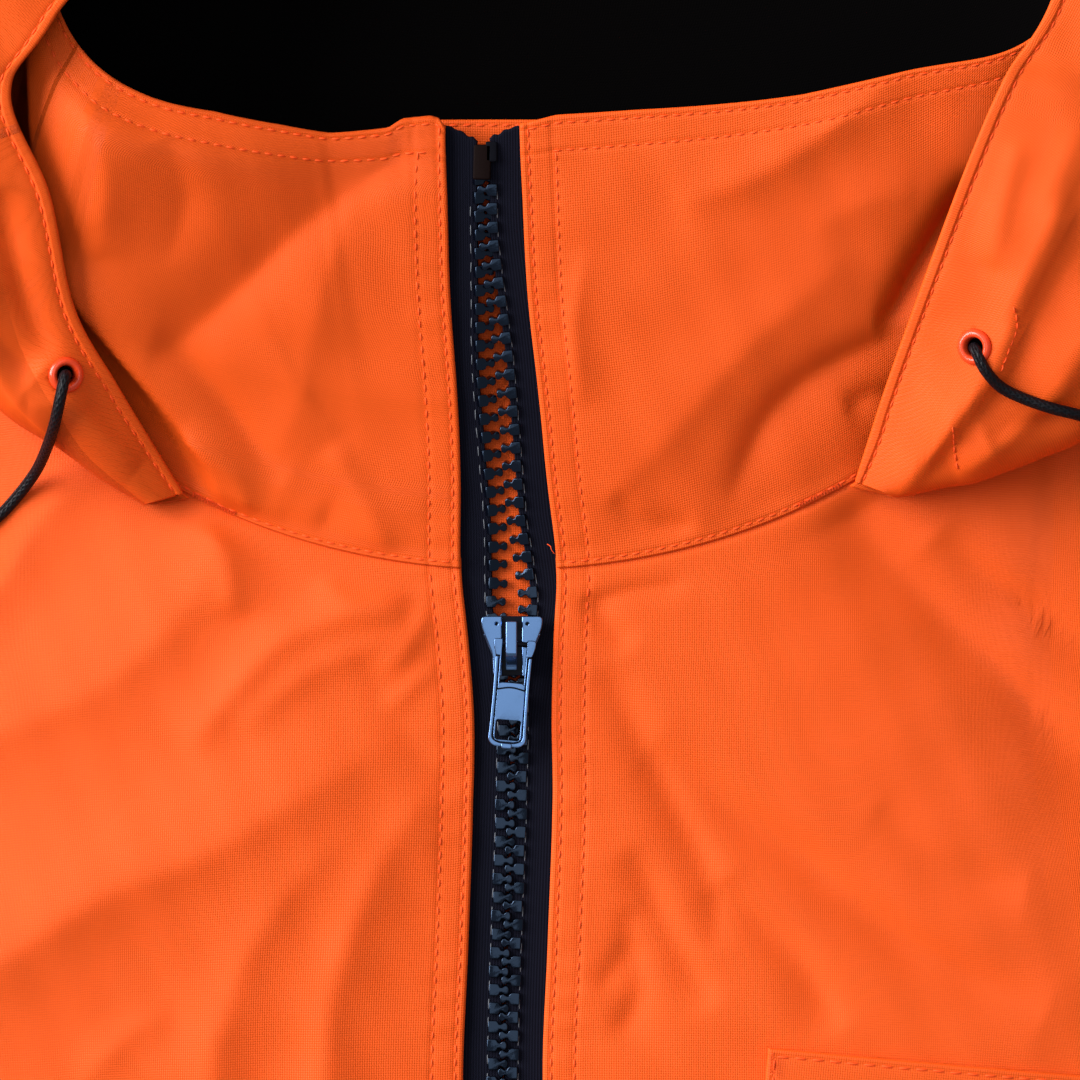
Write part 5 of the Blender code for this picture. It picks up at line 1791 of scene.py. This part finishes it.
# Outlines from the slider's top middle: x, y and a corner's own radius.
SLIDER_SHOULDER = [(6.45, -0.05, 1.0), (6.3, -2.3, 1.5), (4.0, -8.0, 1.2)]
SLIDER_PLAN = both_sides([(2.2, 0.0, 0.2), *SLIDER_SHOULDER, (3.9, -12.5, 1.0)])
SLIDER_WING = [(2.1, -0.05, 0.2), *SLIDER_SHOULDER, (3.9, -12.5, 0.8), (2.1, -12.5, 0.2)]
SLIDER_FLANGE = [(6.0, -3.6), (5.2, -3.9), (3.4, -8.6), (3.2, -12.2), (3.9, -12.2), (4.1, -8.2)]
SLIDER_POST = [(-1.1, -0.3), (1.5, -0.3), (0.2, -3.0), (-0.2, -3.0)]
# The arch over the tab's bar, from the side: it starts square and slopes down to a small foot.
SLIDER_ARCH = [
    (-1.0, -0.7),
    (-1.0, 4.2, 0.4),
    (-8.0, 4.2, 0.5),
    (-10.2, 1.2, 0.4),
    (-11.2, 1.1, 0.2),
    (-11.2, -0.7),
    (-9.6, -0.7),
    (-9.6, 0.4, 0.3),
    (-7.5, 3.1, 0.5),
    (-2.3, 3.1, 0.5),
    (-2.3, -0.7),
]
ARCH_HALF = 1.15
DIMPLE = (3.2, -1.6)
DIMPLE_RADIUS = 0.3
SLIDER_RISE = 0.9


def make_slider():
    z = float(zip_z(SLIDER_TOP_Y - 6))
    top = z + SLIDER_RISE
    smooth = rounded(placed(SLIDER_PLAN), 0.5, 5)
    inner = rounded([(x - 0.25 * np.sign(x - SLIDER_X), y) for x, y in smooth[::3]], 0.2, 2)
    post = rounded(placed(SLIDER_POST), 0.3)
    # The inner plate, the bottom plate and the post are painted shade: enamel coloured near black for the
    # slider's shadowed inside, seen through its slot.
    core = [
        plate_mesh([inner], top - 1.5, top - 0.7, 0.1),
        plate_mesh([smooth], z - 5.3, z - 4.0, 0.35),
        plate_mesh([post], z - 4.6, z - 0.2, 0.2),
    ]
    finish_piece(join_shapes("slider_core", core, FINISHES["painted_shade_enamel"]), ["slider"])
    shapes = []
    dimple = []
    for turn in np.linspace(0, 2 * pi, 13)[:-1]:
        dimple.append((DIMPLE[0] + DIMPLE_RADIUS * cos(turn), DIMPLE[1] + DIMPLE_RADIUS * sin(turn)))
    for side in SIDES.values():
        wing = rounded(placed(mirrored(SLIDER_WING, side)), 0.3)
        hollow = placed(mirrored(dimple, side))
        shapes.append(plate_mesh([wing, hollow], top - 0.75, top, 0.22))
        flange = rounded(placed(mirrored(SLIDER_FLANGE, side)), 0.3)
        shapes.append(plate_mesh([flange], top - 2.4, top - 0.4, 0.2))
    arch = plate_mesh([rounded(SLIDER_ARCH, 0.2)], -ARCH_HALF, ARCH_HALF, 0.22)
    shapes.append(stood_up(arch, SLIDER_X - 0.1, SLIDER_TOP_Y, top))
    finish_piece(join_shapes("slider_enamelled", shapes, FINISHES["enamel"]), ["slider"])


TAB_RISE = 2.15


def make_pull_tab():
    z = float(zip_z(SLIDER_TOP_Y - 6))
    middle = z + TAB_RISE
    place = Matrix.Translation((TAB_PIVOT[0], TAB_PIVOT[1], middle)) @ Matrix.Rotation(TAB_ANGLE, 4, "Z")
    ear = [(2.55, 0.9, 0.3), (4.5, 0.9, 0.7), (4.35, -0.7, 0.8), (3.8, -2.4, 1.2), (3.7, -9.0, 3.0)]
    foot = [(3.8, -17.0, 3.0), (3.95, -20.4, 1.3), (2.7, -21.5, 1.6)]
    crotch = [(2.55, -8.0, 1.3), (0.9, -8.05, 0.4)]
    # The loop is drawn from the left ear round the foot to the right ear, then back round the slot.
    outline = mirrored(ear + foot) + (ear + foot)[::-1] + both_sides(crotch)
    window = rounded(both_sides([(2.6, -15.9, 0.5), (2.6, -20.1, 0.5)]), 0.4)
    # The tab's core is painted shade: enamel coloured near black where it shows in the grooves and round the
    # window.
    core = [plate_mesh([rounded(outline, 0.5), window], -0.62, 0.2, 0.15)]
    bar = bmesh.new()
    bmesh.ops.create_cone(bar, cap_ends=True, segments=16, radius1=0.55, radius2=0.55, depth=6.0)
    bmesh.ops.transform(bar, matrix=Matrix.Rotation(pi / 2, 4, "Y"), verts=bar.verts)
    core.append(bar)
    piece = join_shapes("pull_tab_core", core, FINISHES["painted_shade_enamel"], place)
    finish_piece(piece, ["pull_tab"], "pull")
    # The rim runs round the outside, and a groove parts it from the arms, the saddle and the panel inside it.
    band = 0.62
    inner_foot = [(3.8 - band, -17.0, 2.0), (3.9 - band, -19.9, 0.9), (2.5 - band, -20.75, 0.8)]
    outer = [(3.8, -2.8, 0.5), (3.7, -9.0, 3.0)] + foot
    inner = [(3.8 - band, -2.8, 0.2), (3.7 - band, -9.0, 3.0)] + inner_foot
    rim = mirrored(outer) + outer[::-1] + both_sides(inner)
    shapes = [plate_mesh([rounded(rim, 0.3)], 0.1, 0.75, 0.16)]
    inside = 3.7 - band - 0.2
    for side in SIDES.values():
        cheek = [(2.6, 0.85, 0.3), (4.4, 0.85, 0.6), (4.3, -0.7, 0.8), (3.75, -2.5, 0.3), (inside, -2.6, 0.1)]
        cheek += [(inside - 0.05, -9.0, 0.3), (2.55, -8.4, 0.8), (2.6, -7.0, 0.5)]
        shapes.append(plate_mesh([rounded(mirrored(cheek, side), 0.3)], 0.1, 0.62, 0.12))
    tight = inside - 0.1
    saddle = [(tight, -8.6), (2.2, -8.2, 0.5), (0, -8.15, 0.5), (-2.2, -8.2, 0.5), (-tight, -8.6)]
    saddle += [(-tight, -9.5, 0.2), (0.0, -8.9, 2.0), (tight, -9.5, 0.2)]
    shapes.append(plate_mesh([rounded(saddle, 0.2)], 0.1, 0.62, 0.1))
    panel = [(-inside, -9.75, 0.2), (0.0, -9.1, 2.0), (inside, -9.75, 0.2), (inside + 0.08, -19.8, 0.8)]
    panel += [(1.7, -20.5, 0.6), (-1.7, -20.5, 0.6), (-inside - 0.08, -19.8, 0.8)]
    shapes.append(plate_mesh([rounded(panel, 0.2), window], 0.1, 0.5, 0.1))
    bump = rounded([(-1.2, -20.75, 0.5), (1.2, -20.75, 0.5), (1.1, -21.9, 0.5), (-1.1, -21.9, 0.5)], 0.4)
    shapes.append(plate_mesh([bump], 0.2, 0.95, 0.25))
    piece = join_shapes("pull_tab_enamelled", shapes, FINISHES["enamel"], place)
    finish_piece(piece, ["pull_tab"], "pull")


# --- Hood trim ---

# An eyelet's section from its bore to its outer edge and back under: radius, height.
EYELET_SECTION = [
    (1.75, -1.6),
    (1.95, -0.2),
    (2.05, 0.5),
    (2.35, 0.95),
    (2.8, 1.08),
    (3.3, 0.85),
    (3.65, 0.4),
    (3.75, 0.05),
    (3.4, 0.0),
    (2.6, -0.2),
    (2.2, -0.6),
    (2.05, -1.6),
]


EYELET_STEPS = 40
EYELET_REACH = 4.5
EYELET_LIFT = 0.25


def make_eyelets(panels):
    steps = EYELET_STEPS
    for name, spot in EYELETS.items():
        panel = panels[name]
        flat = np.hypot(panel.points[..., 0] - spot[0], panel.points[..., 1] - spot[1])
        flat = np.where(panel.points[..., 2] > EYELET_LOWEST, flat, FAR)
        near = flat < EYELET_REACH
        weights = 1 / (0.5 + flat[near])
        normal = unit((panel.normals()[near] * wide(weights)).sum(axis=0))
        height = (panel.points[near][:, 2] * weights).sum() / weights.sum()
        centre = np.array([*spot, height + EYELET_LIFT])
        first = unit(np.cross(normal, (0.0, 1.0, 0.0)))
        second = np.cross(normal, first)
        vertices = []
        count = len(EYELET_SECTION)
        for s in range(steps):
            turn = 2 * pi * s / steps
            way = first * cos(turn) + second * sin(turn)
            vertices += [centre + way * radius + normal * rise for radius, rise in EYELET_SECTION]
        faces = []
        for s in range(steps):
            t = (s + 1) % steps
            for k in range(count):
                n = (k + 1) % count
                faces.append((s * count + k, t * count + k, t * count + n, s * count + n))
        piece = mesh_object(f"eyelet_{name}_moulded", vertices, faces, FINISHES["eyelet"])
        finish_piece(piece, [f"eyelet_{name}"])


def draped(panel, plan, lift=0.15):
    """A path in plan laid over the upper side of a panel, and the directions out of it."""
    normals = panel.normals()
    upper = normals[..., 2] > 0.3
    points = panel.points[upper]
    out = normals[upper]
    path = []
    ways = []
    for spot in plan:
        distance = np.hypot(points[:, 0] - spot[0], points[:, 1] - spot[1])
        near = np.argsort(distance)[:6]
        weight = wide(1 / (distance[near] + 0.1))
        way = unit((out[near] * weight).sum(axis=0))
        height = (points[near] * weight).sum(axis=0)[2] / weight.sum()
        path.append(np.array([spot[0], spot[1], height]) + way * lift)
        ways.append(way)
    return np.array(path), np.array(ways)


TACK_STEP = 0.32
TACK_RADIUS = 0.17


def zigzag(start, end, width):
    """A bar tack's path in plan."""
    start = np.array(start, float)
    end = np.array(end, float)
    along = unit(end - start)
    across = np.array([-along[1], along[0]])
    count = int(np.linalg.norm(end - start) / TACK_STEP)
    swing = np.where(np.arange(count + 1) % 2, 0.5, -0.5) * width
    return mix(start, end, wide(np.arange(count + 1) / count)) + wide(swing) * across


# Threads that stand out: bar tacks on the neck seam and the pocket, and the hood's drawcord channel.
SEAM_TACKS = {"left": ((60.5, 13.4), (69.5, 17.6)), "right": ((-57.0, 11.6), (-66.0, 15.6))}
CHANNEL_ROWS = [
    [(103.1, 54.0), (104.0, 50.0), (102.3, 44.8), (101.0, 41.0)],
    [(91.3, 29.6), (92.0, 25.0), (92.9, 20.8)],
]


def make_threads(fronts, hoods):
    thread = FINISHES["thread"]
    for name, (start, end) in SEAM_TACKS.items():
        path, _ = draped(fronts[name], zigzag(start, end, 1.3), 1.2)
        finish_piece(tube(f"neck_bar_tack_{name}", path, TACK_RADIUS, thread, 5))
    corner = np.array(POCKET_CORNER)
    path, _ = draped(fronts["left"], zigzag(corner + (0.8, -0.8), corner + (0.9, -5.5), 1.2), 2.9)
    finish_piece(tube("pocket_bar_tack", path, TACK_RADIUS, thread, 5))
    rows = [(*draped(hoods["left"], curve_through(row, 12)), *CHANNEL_STITCH) for row in CHANNEL_ROWS]
    finish_piece(stitching("hood_channel_stitches", rows, thread))
    z = float(zip_z(5.0))
    path = curve_through([(8.0, 5.4, z), (8.7, 4.9, z + 0.9), (8.9, 4.2, z + 1.0), (9.5, 3.4, z + 0.6)], 6)
    finish_piece(tube("loose_thread", path, 0.09, thread, 5))


# --- Floor, light and camera ---


def area_light(name, place, target, size, power, color=(1, 1, 1)):
    data = bpy.data.lights.new(name, "AREA")
    data.shape = "RECTANGLE"
    data.size, data.size_y = size
    data.energy = power
    data.color = color
    light = bpy.data.objects.new(name, data)
    light.location = place
    light.rotation_euler = (Vector(target) - Vector(place)).to_track_quat("-Z", "Y").to_euler()
    bpy.context.scene.collection.objects.link(light)


# Places and sizes in metres, powers in watts.
FLOOR_SIZE = 30
FLOOR_SHADES = (0.7, 0.74)
KEY_PLACE = (-2.05, 1.0, 1.19)
KEY_SIZE = (2.0, 2.0)
KEY_POWER = 134
OVERHEAD_PLACE = (0.0, 0.8, 2.3)
OVERHEAD_SIZE = (1.6, 3.0)
OVERHEAD_POWER = 15
OVERHEAD_COLOR = (0.95, 0.98, 1.0)
SURROUND = 0.25


def make_studio():
    floor_finish = Finish("pale_floor", (0.72, 0.72, 0.72), 0.7)
    grain = floor_finish.noise(60.0, 4.0)
    dark, light = [(shade, shade, shade) for shade in FLOOR_SHADES]
    floor_finish.set("Base Color", floor_finish.shade(grain, dark, light))
    bpy.ops.mesh.primitive_plane_add(size=FLOOR_SIZE, location=(0, 0, 0))
    floor = bpy.context.object
    floor.name = "floor"
    floor.data.materials.append(floor_finish.material)
    world = bpy.data.worlds.new("studio")
    world.use_nodes = True
    background = world.node_tree.nodes["Background"]
    background.inputs["Color"].default_value = (1, 1, 1, 1)
    background.inputs["Strength"].default_value = SURROUND
    bpy.context.scene.world = world
    neck_point = (0.0, NECK_Y * MM, 0.02)
    area_light("key", KEY_PLACE, neck_point, KEY_SIZE, KEY_POWER)
    area_light("overhead", OVERHEAD_PLACE, neck_point, OVERHEAD_SIZE, OVERHEAD_POWER, OVERHEAD_COLOR)
    scene = bpy.context.scene
    scene.view_settings.view_transform = "Standard"
    scene.view_settings.look = "None"


CAMERA_HEIGHT = 1.25
FRAME_WIDTH = 0.225
FRAME_CENTRE = (6.5, 6.25)


def make_camera():
    data = bpy.data.cameras.new("camera")
    data.sensor_width = 36
    data.lens = 36 * CAMERA_HEIGHT / FRAME_WIDTH
    data.clip_start = 0.05
    camera = bpy.data.objects.new("camera", data)
    x, y = FRAME_CENTRE
    camera.location = (x * MM, (y + NECK_Y) * MM, CAMERA_HEIGHT + NECK_FRONT_Z * MM)
    bpy.context.scene.collection.objects.link(camera)
    bpy.context.scene.camera = camera


make_camera()
drawcords()
front_panels = make_fronts()
make_back()
make_sleeves()
make_collar()
hood_panels = make_hood()
make_pocket(front_panels)
make_bands(front_panels)
make_guard()
make_tapes()
make_teeth()
make_stops()
make_slider()
make_pull_tab()
make_eyelets(hood_panels)
make_threads(front_panels, hood_panels)
make_studio()
